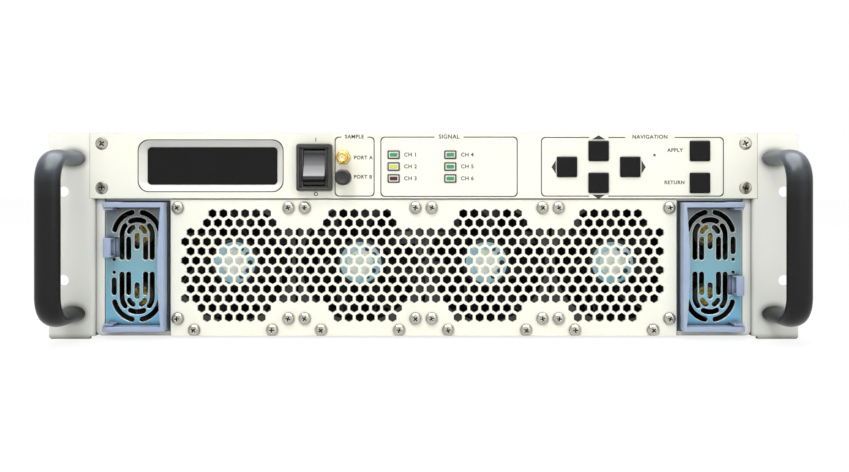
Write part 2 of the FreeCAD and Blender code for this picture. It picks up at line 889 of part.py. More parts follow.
def switch_rocker():
    """A two-faced rocker on its pins, tilted so that its top end is pressed in."""
    z = control_z - switch_drop
    half = rocker_width / 2
    reach = rocker_radius + 1
    tip = rocker_face_reach + rocker_face_rise
    outline = [
        V(-half, -tip, reach), V(-half, -rocker_face_reach + rocker_face_dip, 0), V(-half, -tip, -reach),
        V(-half, rocker_back, -reach), V(-half, rocker_back, reach),
    ]
    block = prism(outline, V(rocker_width, 0, 0))
    drum = Part.makeCylinder(rocker_radius, rocker_width, V(-half, 0, 0), X_AXIS)
    pin_half = half + rocker_pin_reach
    pins = Part.makeCylinder(rocker_pin_radius, 2 * pin_half, V(-pin_half, 0, 0), X_AXIS)
    shape = joined([block.common(drum), pins])
    shape.rotate(V(0, 0, 0), X_AXIS, -rocker_tilt)
    shape.translate(V(switch_x, 0, z))
    return shape


def coaxial_jack(x, z):
    """A threaded jack with its hexagonal nut, through the panel."""
    front = -panel_thickness
    nut = Part.Face(hexagon_outline(jack_nut_flats, x, front - jack_nut_height, z, 0))
    nut = nut.extrude(V(0, jack_nut_height, 0))
    barrel = rod(jack_thread, V(x, front - jack_reach, z), V(x, 0, z))
    rear = rod(jack_nut_flats, V(x, 0, z), V(x, jack_rear, z))
    mouth = front - jack_reach
    bore = rod(jack_bore, V(x, mouth - 1, z), V(x, mouth + jack_bore_depth, z))
    pin = rod(jack_pin, V(x, mouth + jack_pin_recess, z), V(x, mouth + jack_bore_depth + 1, z))
    return joined([nut, barrel, rear]).cut(bore).fuse(pin)


def input_dust_cap():
    """A push-on cap over the lower jack."""
    x, z = jack_places[1]
    start = -panel_thickness - jack_nut_height - fit_gap
    end = start - cap_length
    cap = rod(cap_diameter, V(x, end, z), V(x, start, z))
    rim = [edge for edge in cap.Edges if edge.BoundBox.YMax < end + 0.01]
    cap = cap.makeFillet(cap_round, rim)
    return cap.cut(rod(jack_thread + 2 * running_gap, V(x, end + cap_end, z), V(x, start + 1, z)))


def led_bezels():
    """Six white frames clipped into the panel."""
    frames = []
    for x, z in lamp_places:
        front = -panel_thickness
        lip = rounded_block(lamp_width, lamp_height, plate_corner, x, front - lamp_lip, front, z)
        inset = 2 * (lamp_lip + running_gap)
        sleeve = rounded_block(lamp_width - inset, lamp_height - inset, lamp_corner - running_gap,
                               x, front, lamp_sleeve, z)
        hole = box(x - lens_width / 2, x + lens_width / 2, front - 2, 2,
                   z - lens_height / 2, z + lens_height / 2)
        frames.append(joined([lip, sleeve]).cut(hole))
    return frames


def lens(x, z):
    """A coloured light guide from the board to the front of its bezel."""
    half_w = lens_width / 2 - running_gap
    half_h = lens_height / 2 - running_gap
    front = -panel_thickness - lamp_lip - lens_proud
    rear = board_front - chip_depth - lamp_air
    return box(x - half_w, x + half_w, front, rear, z - half_h, z + half_h)


def key(x, z):
    """A square key with a flange behind the panel and a stem for its switch."""
    front = -panel_thickness - key_proud
    cap = box(x - key_size / 2, x + key_size / 2, front, fit_gap, z - key_size / 2, z + key_size / 2)
    rim = [edge for edge in cap.Edges if edge.BoundBox.YMax < front + 0.01]
    cap = cap.makeChamfer(key_chamfer, rim)
    half = key_size / 2 + key_flange
    flange = box(x - half, x + half, fit_gap, fit_gap + key_flange_thickness, z - half, z + half)
    start = fit_gap + key_flange_thickness
    stem = rod(key_stem, V(x, start, z), V(x, start + key_stem_length, z))
    return joined([cap, flange, stem])


def front_board():
    """Circuit board behind the panel with key switches, lamps and standoffs."""
    rear = board_front + board_thickness
    board = box(board_left, board_right, board_front, rear, control_z - board_height / 2,
                control_z + board_height / 2)
    half_w = switch_width / 2
    half_h = switch_height / 2 - switch_notch
    z = control_z - switch_drop
    board = board.cut(box(switch_x - half_w, switch_x + half_w, board_front - 1, rear + 1,
                          z - half_h, z + half_h))
    shapes = [board]
    plunger_start = fit_gap + key_flange_thickness + key_stem_length + key_travel + fit_gap
    for x, z in key_places.values():
        half = switch_button_width / 2
        plunger_end = plunger_start + plunger_length
        body = box(x - half, x + half, plunger_end, board_front, z - half, z + half)
        plunger = rod(plunger_diameter, V(x, plunger_start, z), V(x, plunger_end, z))
        shapes.append(body.fuse(plunger))
    for x, z in lamp_places:
        shapes.append(box(x - chip_width / 2, x + chip_width / 2, board_front - chip_depth, board_front,
                          z - chip_height / 2, z + chip_height / 2))
    rise = (board_height - standoff_diameter) / 2
    for x in (board_left + 2 * standoff_diameter, *middle_standoffs, board_right - standoff_diameter / 2):
        for z in (control_z - rise, control_z + rise):
            if abs(x - display_x) > display_width / 2 + bezel_tab + standoff_diameter / 2:
                shapes.append(rod(standoff_diameter, V(x, 0, z), V(x, board_front, z)))
    holes = [rod(jack_thread, V(x, board_front - 1, z), V(x, rear + 1, z)) for x, z in jack_places]
    shapes[0] = shapes[0].cut(holes)
    return shapes


# Fan plate and fans

def hexagon_places():
    """Centres of the hexagonal holes: full rows in the middle, a bump before each fan above and below."""
    row_pitch = hex_pitch * math.sqrt(0.75)
    columns = int((2 * plate_half - 2 * hex_margin - hex_pitch / 2) / hex_pitch) + 1
    middle = fan_z - hex_drop
    bump_spacing = fan_pitch - bump_narrowing
    places = []
    for row in range(hex_rows):
        z = middle + ((hex_rows - 1) / 2 - row) * row_pitch
        left = -plate_half + hex_margin + (hex_pitch / 2 if row % 2 == 0 else 0)
        from_edge = min(row, hex_rows - 1 - row)
        if from_edge > 1:
            chosen = range(columns)
        else:
            count = outer_bump_columns if from_edge == 0 else inner_bump_columns
            shift = bump_shift if row < hex_rows / 2 else -bump_shift
            chosen = []
            for fan in range(4):
                centre = (fan - 1.5) * bump_spacing + shift
                first = round((centre - left) / hex_pitch - (count - 1) / 2)
                chosen += range(first, first + count)
        places += [(left + column * hex_pitch, z) for column in chosen]
    return places


def fan_screw_places():
    """The four mounting holes of each fan."""
    half = fan_screw_spacing / 2
    return [(x + dx, fan_z + dz) for x in fan_centres for dx in (-half, half) for dz in (-half, half)]


def lower_screw_places():
    """The row of screws that hold the fan plate to the chassis lip."""
    return [(x + dx, lower_screw_z) for x in fan_centres for dx in (-lower_screw_offset, lower_screw_offset)]


def fan_plate():
    """The perforated plate in front of the fans."""
    bottom = chassis_bottom
    top = lower_top - panel_seam
    holes = [hexagon_outline(hex_flats, x, 0, z) for x, z in hexagon_places()]
    holes += [circle_outline(screw_hole, x, 0, z) for x, z in fan_screw_places() + lower_screw_places()]
    outline = rounded_outline(2 * plate_half, top - bottom, plate_corner, 0, 0, (top + bottom) / 2)
    return plate_with_holes(outline, holes, -sheet, 0)


def fan_plate_screws():
    """Pan-head screws: four long ones to a fan, and a short row along the lower edge of the plate."""
    long = pan_screw(fan_screw_length)
    short = pan_screw(2 * sheet - fit_gap)
    screws = [aimed(long, V(x, -sheet, z), V(0, -1, 0)) for x, z in fan_screw_places()]
    return screws + [aimed(short, V(x, -sheet, z), V(0, -1, 0)) for x, z in lower_screw_places()]


def fan_frame(size, depth, bore, hole_spacing, hub):
    """A square fan frame with its motor carrier at the rear, in front of the XZ plane through its centre."""
    web = depth * web_to_depth
    frame = rounded_block(size, size, size * corner_to_size, 0, 0, depth, 0)
    frame = frame.cut(rod(bore, V(0, -1, 0), V(0, depth + 1, 0)))
    carrier = rod(hub, V(0, depth - web, 0), V(0, depth, 0))
    boss = rod(hub * boss_to_hub, V(0, depth * boss_start_to_depth, 0), V(0, depth, 0))
    shapes = [frame, carrier, boss]
    half_strut = size * strut_to_size / 2
    for strut in range(strut_count):
        arm = box(hub * boss_to_hub / 2 - 1, bore / 2 + 1, depth - web, depth, -half_strut, half_strut)
        arm.rotate(V(0, 0, 0), Y_AXIS, 360 / strut_count * (strut + 0.5))
        shapes.append(arm)
    shape = joined(shapes)
    half = hole_spacing / 2
    cuts = [rod(hub * shaft_to_hub + 2 * running_gap, V(0, 0, 0), V(0, depth + 1, 0))]
    hole = min(screw_hole, (size - hole_spacing) / 2)
    cuts += [rod(hole, V(x, -1, z), V(x, depth + 1, z)) for x in (-half, half) for z in (-half, half)]
    return shape.cut(cuts)


def fan_rotor(depth, bore, hub, blades):
    """A hub cup with its shaft and pitched blades."""
    front = depth * web_to_depth
    back = depth * cup_end_to_depth
    tip = bore / 2 * blade_reach_to_bore
    wall = hub * cup_wall_to_hub
    cup = rod(hub, V(0, front, 0), V(0, back, 0))
    cup = cup.cut(rod(hub - 2 * wall, V(0, front + wall, 0), V(0, back + 1, 0)))
    shaft = rod(hub * shaft_to_hub, V(0, front, 0), V(0, depth - running_gap, 0))
    root = hub / 2 - wall / 2
    ends = [blade_section(root, depth, hub, root_pitch), blade_section(tip + 1, depth, hub, tip_pitch)]
    blade = Part.makeLoft(ends, True, True)
    ring = rod(2 * tip, V(0, 0, 0), V(0, depth, 0)).cut(rod(2 * root, V(0, -1, 0), V(0, depth + 1, 0)))
    blade = blade.common(ring)
    shapes = [cup, shaft]
    for index in range(blades):
        copy = blade.copy()
        copy.rotate(V(0, 0, 0), Y_AXIS, 360 / blades * index)
        shapes.append(copy)
    return joined(shapes)


def blade_section(radius, depth, hub, pitch):
    """The cross-section of a blade at a radius, as a thin slanted strip."""
    span = depth * blade_span_to_depth
    slope = math.radians(pitch)
    run = span / 2 / math.tan(slope) * blade_run
    half_thick = hub * blade_thickness_to_hub / 2
    along = V(0, span / 2, run)
    across = V(0, -half_thick * math.cos(slope), half_thick * math.sin(slope))
    centre = V(radius, depth * blade_middle_to_depth, 0)
    half = [centre + along + across, centre - along + across]
    return closed_line(half + [centre - along - across, centre + along - across])


# Power modules, built round their own centre with the latch on the left

def arc_point(radius, angle, centre_z, flip):
    """A point on a ring, by its angle from the vertical."""
    turn = math.radians(angle)
    return V(radius * math.sin(turn), 0, flip * (centre_z + radius * math.cos(turn)))


def arc_slot(radius, start, end, flip, tail=None):
    """A slot along a ring, running on straight down to a height where one is given."""
    middle = (start + end) / 2
    points = [arc_point(radius, angle, psu_fan_offset, flip) for angle in (start, middle, end)]
    edges = [Part.Arc(*points).toShape()]
    if tail is not None:
        edges.append(Part.LineSegment(points[2], V(points[2].x, 0, flip * tail)).toShape())
    return Part.Wire(edges).makeOffset2D(slot_width / 2, 0, False, False)


def straight_slot(x, low, high, flip):
    """An upright slot with round ends."""
    return slot_outline(high - low, slot_width, x, 0, flip * (low + high) / 2, True)


def grille_slots():
    """The slots of the module face: three rings round each fan axis with straight slots between."""
    slots = []
    cap = slot_width / 2
    low = slot_band + cap
    high = psu_fan_offset - straight_slot_below
    for flip in (1, -1):
        slots.append(straight_slot(0, psu_fan_offset - middle_slot_below,
                                   psu_fan_offset + middle_slot_above, flip))
        slots.append(arc_slot(slot_ring_middle, -middle_arc_half, middle_arc_half, flip))
        for side in (-1, 1):
            slots.append(arc_slot(slot_ring_outer, side * outer_arc_start, side * outer_arc_end, flip))
            slots.append(arc_slot(slot_ring_inner, side * inner_arc_start, side * inner_arc_end, flip))
            slots.append(arc_slot(slot_ring_middle, side * side_arc_start, side * 90, flip, low))
            slots.append(straight_slot(side * slot_ring_inner, slot_band, high, flip))
            if (flip, side) != (1, -1):
                slots.append(straight_slot(side * slot_ring_outer, slot_band * 2, high, flip))
    return slots


def psu_case():
    """The sheet case of a module with its slotted face, hinge lugs and edge connector."""
    half_w = psu_width / 2
    half_h = psu_height / 2
    latch_slot = rounded_outline(
        latch_width + latch_travel + 2 * slide_gap, latch_height + 2 * slide_gap, latch_slot_corner,
        latch_x + latch_travel / 2, 0, latch_rise)
    holes = grille_slots() + [latch_slot]
    for z in (-face_screw_rise, face_screw_rise):
        holes.append(circle_outline(face_screw_diameter, -slot_ring_outer, 0, z))
    face = plate_with_holes(rounded_outline(psu_width, psu_height, plate_corner, 0, 0, 0), holes, 0, psu_face)
    shell = box(-half_w, half_w, psu_face, psu_length, -half_h, half_h)
    shell = shell.cut(box(-half_w + psu_wall, half_w - psu_wall, psu_face - 1, psu_length - psu_wall,
                          -half_h + psu_wall, half_h - psu_wall))
    tongue = box(-edge_tongue_thickness / 2, edge_tongue_thickness / 2, psu_length - edge_tongue_root,
                 psu_length + edge_tongue_length, -edge_tongue_width / 2, edge_tongue_width / 2)
    lug_outer = half_h - bail_inset - bail_thickness - running_gap
    lugs = []
    for flip in (1, -1):
        lug = box(hinge_x - lug_half, hinge_x + lug_half, hinge_y - lug_half, 0,
                  lug_outer - lug_thickness, lug_outer)
        pin_start = V(hinge_x, hinge_y, lug_outer - lug_thickness - 1)
        pin_hole = rod(2 * (bail_pin_radius + running_gap), pin_start, V(hinge_x, hinge_y, lug_outer + 1))
        lug = lug.cut(pin_hole)
        lugs.append(lug if flip == 1 else lug.mirror(V(0, 0, 0), Z_AXIS))
    return joined([face, shell, tongue] + lugs)


def psu_handle():
    """A bow-shaped plastic handle: two arms with pins, and a bar whose inner side bows towards the middle."""
    outer = psu_height / 2 - bail_inset
    inner = outer - bail_thickness
    front = -bail_stand_off - bail_depth
    back = -bail_stand_off
    right = psu_width / 2 - slide_gap
    left = right - bail_bar_width
    bow = Part.Arc(V(left, front, inner), V(left - bail_bow, front, 0), V(left, front, -inner)).toShape()
    rest = [V(left, front, -inner), V(left, front, -outer), V(right, front, -outer),
            V(right, front, outer), V(left, front, outer), V(left, front, inner)]
    edges = [bow] + [Part.LineSegment(one, two).toShape() for one, two in zip(rest, rest[1:])]
    shapes = [Part.Face(Part.Wire(edges)).extrude(V(0, bail_depth, 0))]
    for flip in (1, -1):
        arm = box(hinge_x, right, front, back, inner, outer)
        end = V(hinge_x, hinge_y, outer)
        knuckle = rod(bail_depth, V(hinge_x, hinge_y, inner), end)
        pin = rod(2 * bail_pin_radius, V(hinge_x, hinge_y, inner - bail_pin_reach), end)
        piece = joined([arm, knuckle, pin])
        shapes.append(piece if flip == 1 else piece.mirror(V(0, 0, 0), Z_AXIS))
    handle = joined(shapes)
    rim = [
        edge for edge in handle.Edges
        if edge.BoundBox.ZLength > psu_height / 2 and edge.BoundBox.YMax < front + 0.01
    ]
    return handle.makeFillet(bail_round, rim)


def psu_latch():
    """The thumb tab with a flange that holds it behind the module face."""
    half_w = latch_width / 2
    half_h = latch_height / 2
    start = psu_face + fit_gap
    tab = box(latch_x - half_w, latch_x + half_w, -latch_reach, start,
              latch_rise - half_h, latch_rise + half_h)
    rim = [
        edge for edge in tab.Edges
        if edge.BoundBox.YMax < -latch_reach + 0.01 and edge.BoundBox.ZLength > latch_height / 2
    ]
    tab = tab.makeChamfer(latch_chamfer, rim)
    flange = box(-psu_width / 2 + psu_wall + latch_side_gap, latch_x + half_w + latch_travel, start,
                 start + latch_flange_thickness, latch_rise - half_h - latch_flange,
                 latch_rise + half_h + latch_flange)
    return joined([tab, flange])


def psu_fan_frames():
    """Two small fans, one above the other behind the module face."""
    frames = []
    for flip in (1, -1):
        frame = fan_frame(psu_fan_size, psu_fan_depth, psu_fan_bore, psu_fan_screw_spacing, psu_fan_hub)
        frame.translate(V(0, psu_fan_start, flip * psu_fan_offset))
        frames.append(frame)
    return frames


def psu_rotor(flip):
    """One small fan rotor at its place in the module."""
    rotor = fan_rotor(psu_fan_depth, psu_fan_bore, psu_fan_hub, psu_fan_blades)
    rotor.translate(V(0, psu_fan_start, flip * psu_fan_offset))
    return rotor


def placed_module(shapes, side):
    """A module piece moved to its bay; the right one is the left one turned upside down."""
    pieces = shapes if isinstance(shapes, list) else [shapes]
    placed = []
    for piece in pieces:
        copy = piece.copy()
        if side > 0:
            copy.rotate(V(0, 0, 0), Y_AXIS, 180)
        copy.translate(V(side * psu_x, 0, psu_z))
        placed.append(copy)
    return placed


def psu_cages():
    """The sheet channels that guide the modules."""
    outer = box(bay_inner - sheet, bay_outer + sheet, sheet, cage_end, floor_top, cage_top + sheet)
    cavity = box(bay_inner, bay_outer, 0, cage_end + 1, floor_top + sheet, cage_top)
    return both_sides(outer.cut(cavity))


def power_backplanes():
    """Boards across the rear of the cages with the sockets that the modules plug into."""
    board = box(bay_inner - sheet, bay_outer + sheet, cage_end, cage_end + board_thickness,
                floor_top, cage_top + sheet)
    groove_half = edge_tongue_thickness / 2 + fit_gap
    groove_z = edge_tongue_width / 2 + fit_gap
    socket_half = groove_half + receptacle_wall
    socket_z = groove_z + receptacle_wall
    socket = box(psu_x - socket_half, psu_x + socket_half, psu_length + backplane_gap, cage_end,
                 psu_z - socket_z, psu_z + socket_z)
    groove = box(psu_x - groove_half, psu_x + groove_half, psu_length,
                 psu_length + edge_tongue_length + fit_gap, psu_z - groove_z, psu_z + groove_z)
    return both_sides(joined([board, socket.cut(groove)]))


# Radio frequency deck

def heat_sink():
    """A comb of fins under a thick base; its outer fins stand on the floor."""
    half = plate_half - heat_sink_margin
    base_bottom = heat_sink_top - heat_sink_base
    start = heat_sink_start
    base = box(-half, half, start, start + heat_sink_length, base_bottom, heat_sink_top)
    shapes = [base]
    pitch = (2 * half - fin_thickness) / (fin_count - 1)
    for fin in range(fin_count):
        x = -half + fin * pitch
        foot = floor_top if fin in (0, fin_count - 1) else floor_top + fin_floor_gap
        shapes.append(box(x, x + fin_thickness, start, start + heat_sink_length, foot, base_bottom))
    return joined(shapes)


def lidded_block(x, y, width, length, height, z):
    """A machined housing with its lid as a second solid."""
    body = box(x - width / 2, x + width / 2, y, y + length, z, z + height - module_lid)
    half = width / 2 - module_lid_inset
    lid = box(x - half, x + half, y + module_lid_inset, y + length - module_lid_inset,
              z + height - module_lid, z + height)
    return [body, lid]


def rf_modules():
    """Four amplifier modules side by side on the heat sink."""
    shapes = []
    for column in range(4):
        x = (column - 1.5) * amplifier_pitch
        shapes += lidded_block(x, amplifier_start, amplifier_width, amplifier_length, amplifier_height,
                               heat_sink_top)
        if abs(x) < (combiner_width - link_width) / 2:
            shapes.append(box(x - link_width / 2, x + link_width / 2, amplifier_start + amplifier_length,
                              combiner_start, heat_sink_top, heat_sink_top + link_height))
    return shapes


def power_combiner():
    """The combiner housing and the isolator behind it."""
    shapes = lidded_block(0, combiner_start, combiner_width, combiner_length, combiner_height, heat_sink_top)
    x = rear_jack_x / 2
    half = isolator_link_width / 2
    shapes += lidded_block(x, isolator_start, isolator_size, isolator_size, combiner_height, heat_sink_top)
    shapes.append(box(x - half, x + half, combiner_start + combiner_length, isolator_start,
                      heat_sink_top, heat_sink_top + link_height))
    return shapes


def bent_line(points):
    """A rigid coaxial line through the points with a round bend at each corner."""
    edges = []
    last = points[0]
    for before, corner, after in zip(points, points[1:], points[2:]):
        back = (before - corner).normalize()
        ahead = (after - corner).normalize()
        turn = math.pi - back.getAngle(ahead)
        cut_back = line_bend * math.tan(turn / 2)
        start = corner + back * cut_back
        end = corner + ahead * cut_back
        bisector = (back + ahead).normalize()
        middle = corner + bisector * (line_bend / math.cos(turn / 2) - line_bend)
        edges.append(Part.LineSegment(last, start).toShape())
        edges.append(Part.Arc(start, middle, end).toShape())
        last = end
    edges.append(Part.LineSegment(last, points[-1]).toShape())
    profile = Part.Wire(Part.makeCircle(line_diameter / 2, points[0], points[1] - points[0]))
    return Part.Wire(edges).makePipeShell([profile], True, False)


def coaxial_lines():
    """Rigid lines from the isolator to the output and from the input to the combiner side."""
    level = heat_sink_top + combiner_height / 2
    leave = isolator_start + isolator_size
    rise = leave + line_straight
    output = bent_line([
        V(rear_jack_x / 2, leave, level), V(rear_jack_x / 2, rise, level),
        V(rear_jack_x, rise + line_rise, rear_jack_z), V(rear_jack_x, line_end, rear_jack_z),
    ])
    start = combiner_start + combiner_length
    rise = start + inlet_line_straight
    inlet = bent_line([
        V(-rear_jack_x / 2, start, level), V(-rear_jack_x / 2, rise, level),
        V(-rear_jack_x, rise + inlet_line_rise, rear_jack_z), V(-rear_jack_x, line_end, rear_jack_z),
    ])
    return [output, inlet]


def control_board():
    """The control board on standoffs above the floor, at the rear."""
    left = -chassis_half + sheet + control_board_margin
    bottom = floor_top + control_board_height
    top = bottom + board_thickness
    end = rear_inner - flange_width - control_board_margin
    start = end - control_board_length
    shapes = [box(left, left + control_board_width, start, end, bottom, top)]
    for x in (left + standoff_inset, left + control_board_width - standoff_inset):
        for y in (start + standoff_inset, end - standoff_inset):
            shapes.append(rod(standoff_diameter, V(x, y, floor_top), V(x, y, bottom)))
    for column in range(chip_columns):
        x = left + board_chip_inset + column * board_chip_pitch
        rear = end - board_chip_rear
        shapes.append(box(x, x + board_chip, rear - board_chip, rear, top, top + board_chip_height))
        centre = V(x + board_chip / 2, end - capacitor_rear, top)
        shapes.append(rod(capacitor_diameter, centre, centre + V(0, 0, capacitor_height)))
    return shapes


# Rear connectors

def rear_jack(x):
    """A square-flanged coaxial connector on the rear panel."""
    z = rear_jack_z
    half = rear_jack_flange / 2
    mouth = rear_face + rear_jack_reach
    bore_end = mouth - rear_jack_bore_depth
    back = rear_inner - rear_jack_body
    flange = box(x - half, x + half, rear_face, rear_face + rear_jack_flange_thickness, z - half, z + half)
    barrel = rod(rear_jack_thread, V(x, back, z), V(x, mouth, z))
    neck = rod(rear_jack_neck, V(x, line_end, z), V(x, back, z))
    bore = rod(rear_jack_bore, V(x, bore_end, z), V(x, mouth + 1, z))
    pin = rod(rear_jack_pin, V(x, bore_end - 1, z), V(x, mouth - rear_jack_pin_recess, z))
    return joined([flange, barrel, neck]).cut(bore).fuse(pin)


def ac_inlet(x):
    """A three-pin mains inlet in the rear panel."""
    z = inlet_z
    mouth = rear_face + inlet_flange_thickness
    floor = mouth - inlet_cavity_depth
    back = floor - inlet_wall
    flange = rounded_block(inlet_flange_width, inlet_flange_height, inlet_flange_corner,
                           x, rear_face, mouth, z)
    body = rounded_block(inlet_width, inlet_height, inlet_corner - fit_gap, x, back, rear_face, z)
    inset = 2 * inlet_wall
    cavity = rounded_block(inlet_width - inset, inlet_height - inset, inlet_corner / 2,
                           x, floor, mouth + 1, z)
    shapes = [joined([flange, body]).cut(cavity)]
    half_w = inlet_blade_width / 2
    half_h = inlet_blade_height / 2
    for side, rise in inlet_blades:
        shapes.append(box(x + side - half_w, x + side + half_w, back, rear_face - inlet_blade_recess,
                          z + rise - half_h, z + rise + half_h))
    return joined(shapes)


def signal_ports():
    """Flat signal connectors in a row on the rear panel."""
    ports = []
    z = rear_jack_z
    step = rear_face + port_flange_thickness
    for x in port_places():
        flange = rounded_block(port_width, port_height, port_corner, x, rear_face, step, z)
        nose = rounded_block(port_width - 2 * port_nose_margin, port_height - 2 * port_nose_edge, port_corner,
                             x, step, rear_face + port_reach, z)
        body = rounded_block(port_width - 2 * (port_side_margin + fit_gap),
                             port_height - 2 * (port_edge_margin + fit_gap), port_corner - fit_gap,
                             x, rear_inner - port_body, rear_face, z)
        ports.append(joined([flange, nose, body]))
    return ports


# Build every sub-part

os.makedirs("parts", exist_ok=True)

right_ear = ear()
save("ear_right", right_ear)
save("ear_left", mirrored(right_ear))
right_handle = bow_handle()
save("handle_right", right_handle)
save("handle_left", mirrored(right_handle))
save("handle_screws", handle_screws())
save("chassis_tray", chassis_tray())
save("top_cover", top_cover())
save("rear_panel", rear_panel())
save("chassis_screws", chassis_screws())
save("cover_screws", cover_screws())

save("control_panel", control_panel())
save("control_panel_screws", control_panel_screws())
save("display_bezel", display_bezel())
save("display_window", display_window())
save("display_module", display_module())
save("switch_housing", switch_housing())
save("switch_rocker", switch_rocker())
save("monitor_output_jack", coaxial_jack(*jack_places[0]))
save("monitor_input_jack", coaxial_jack(*jack_places[1]))
save("input_dust_cap", input_dust_cap())
save("led_bezels", led_bezels())
save("yellow_lens", lens(*lamp_places[1]))
save("red_lens", lens(*lamp_places[2]))
save("green_lenses", [lens(*place) for place in lamp_places[:1] + lamp_places[3:]])
for key_name, key_place in key_places.items():
    save(key_name, key(*key_place))
save("front_board", front_board())

save("fan_plate", fan_plate())
save("fan_plate_screws", fan_plate_screws())
large_frames = []
for number, fan_x in enumerate(fan_centres, 1):
    frame = fan_frame(fan_size, fan_depth, fan_bore, fan_screw_spacing, fan_hub)
    frame.translate(V(fan_x, 0, fan_z))
    large_frames.append(frame)
    rotor = fan_rotor(fan_depth, fan_bore, fan_hub, fan_blades)
    rotor.translate(V(fan_x, 0, fan_z))
    save("fan_rotor_" + str(number), rotor)
save("fan_frames", large_frames)

case, bail, latch, small_frames = psu_case(), psu_handle(), psu_latch(), psu_fan_frames()
for side_name, side in (("left", -1), ("right", 1)):
    save("psu_" + side_name + "_case", placed_module(case, side))
    save("psu_" + side_name + "_handle", placed_module(bail, side))
    save("psu_" + side_name + "_latch", placed_module(latch, side))
    save("psu_" + side_name + "_fans", placed_module(small_frames, side))
    save("psu_" + side_name + "_rotor_upper", placed_module(psu_rotor(-side), side))
    save("psu_" + side_name + "_rotor_lower", placed_module(psu_rotor(side), side))
save("psu_cages", psu_cages())
save("power_backplanes", power_backplanes())

save("heat_sink", heat_sink())
save("rf_modules", rf_modules())
save("power_combiner", power_combiner())
save("coaxial_lines", coaxial_lines())
save("control_board", control_board())
save("rf_connectors", [rear_jack(-rear_jack_x), rear_jack(rear_jack_x)])
save("ac_inlets", [ac_inlet(-inlet_x), ac_inlet(inlet_x)])
save("signal_ports", signal_ports())
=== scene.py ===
"""Looks of a three unit rackmount radio frequency amplifier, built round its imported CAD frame.

Pieces are modelled in millimetres and shrunk to metres when they are finished. +X is to the right
seen from the front, +Y to the rear and +Z up.
"""

import json
import logging
import math
from collections.abc import Callable
from dataclasses import dataclass, field
from enum import Enum

import bpy
from mathutils import Matrix, Vector


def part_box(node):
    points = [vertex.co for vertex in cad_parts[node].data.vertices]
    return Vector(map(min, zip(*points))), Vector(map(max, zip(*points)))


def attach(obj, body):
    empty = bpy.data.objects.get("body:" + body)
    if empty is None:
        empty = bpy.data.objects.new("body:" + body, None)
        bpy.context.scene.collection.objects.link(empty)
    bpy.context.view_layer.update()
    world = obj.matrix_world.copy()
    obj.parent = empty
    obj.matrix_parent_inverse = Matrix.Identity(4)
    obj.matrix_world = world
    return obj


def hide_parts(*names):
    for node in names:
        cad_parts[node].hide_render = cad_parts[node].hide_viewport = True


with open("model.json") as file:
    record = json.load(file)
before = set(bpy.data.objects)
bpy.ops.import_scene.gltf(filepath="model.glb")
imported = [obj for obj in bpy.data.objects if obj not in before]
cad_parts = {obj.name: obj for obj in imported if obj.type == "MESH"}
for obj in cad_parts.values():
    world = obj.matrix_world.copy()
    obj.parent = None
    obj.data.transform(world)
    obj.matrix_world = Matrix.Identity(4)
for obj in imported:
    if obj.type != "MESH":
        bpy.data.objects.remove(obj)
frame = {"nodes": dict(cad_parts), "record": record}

LOG = logging.getLogger("rack_amplifier")
# A millimetre in metres. The rest are in millimetres: the panel's front face, how near counts as touching,
# and the middle of the right power module.
MM = 0.001
FRONT = -3.0
NEAR = 0.01
BAY_X, BAY_Z = 185.6, -19.5
Piece = bpy.types.Object
Tree = bpy.types.NodeTree
Socket = bpy.types.NodeSocket
Point = tuple[float, float, float]
Ring = tuple[float, float]
# What a word says, its x, its z and its letter size.
Word = tuple[str, float, float, float]
# Tells whether something with this centre, and this normal or direction, is taken.
Rule = Callable[[Vector, Vector], bool]


# Places and colours

def span(node: str) -> tuple[Vector, Vector]:
    """Gives the lowest and highest corners of a CAD node's box, in millimetres."""
    low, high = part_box(node)
    return low / MM, high / MM


def middle(node: str) -> Vector:
    """Gives the centre of a CAD node's box, in millimetres."""
    low, high = span(node)
    return (low + high) / 2


def tint(code: str) -> tuple[float, float, float, float]:
    """Turns an sRGB hex code into linear colour.

    Args:
        code: six hex digits.

    Returns:
        Red, green, blue and alpha.
    """
    parts = [int(code[at:at + 2], 16) / 255 for at in (0, 2, 4)]
    linear = [part / 12.92 if part <= 0.04045 else ((part + 0.055) / 1.055) ** 2.4 for part in parts]
    return (*linear, 1.0)


class Way(Enum):
    """A direction on the amplifier."""

    LEFT = (-1.0, 0.0, 0.0)
    RIGHT = (1.0, 0.0, 0.0)
    FRONT = (0.0, -1.0, 0.0)
    REAR = (0.0, 1.0, 0.0)
    DOWN = (0.0, 0.0, -1.0)
    UP = (0.0, 0.0, 1.0)

    def faces(self, centre: Vector, normal: Vector) -> bool:
        """Takes the flat faces that look this way."""
        return normal.dot(Vector(self.value)) > 0.99

    def edges(self, centre: Vector, line: Vector) -> bool:
        """Takes the edges that run this way or back."""
        return abs(line.dot(Vector(self.value))) > 0.9

    def at(self, x: float, y: float, z: float) -> Matrix:
        """Turns what was modelled facing up so that it faces this level way, and sets it down.

        Args:
            x: where its origin comes, to the right.
            y: the same to the rear.
            z: the same upwards.

        Returns:
            The matrix that does both.
        """
        axis = Vector(Way.UP.value).cross(Vector(self.value))
        return Matrix.Translation((x, y, z)) @ Matrix.Rotation(math.pi / 2, 4, axis)


class Side(Enum):
    """A side of the amplifier. The right power module is the left one turned upside down."""

    LEFT = "left"
    RIGHT = "right"

    def bay(self) -> Matrix:
        """Places what was modelled round a power module's own centre in its bay."""
        if self is Side.LEFT:
            return Matrix.Translation((-BAY_X, 0, BAY_Z))
        return Matrix.Translation((BAY_X, 0, BAY_Z)) @ Matrix.Rotation(math.pi, 4, "Y")


# Finishes

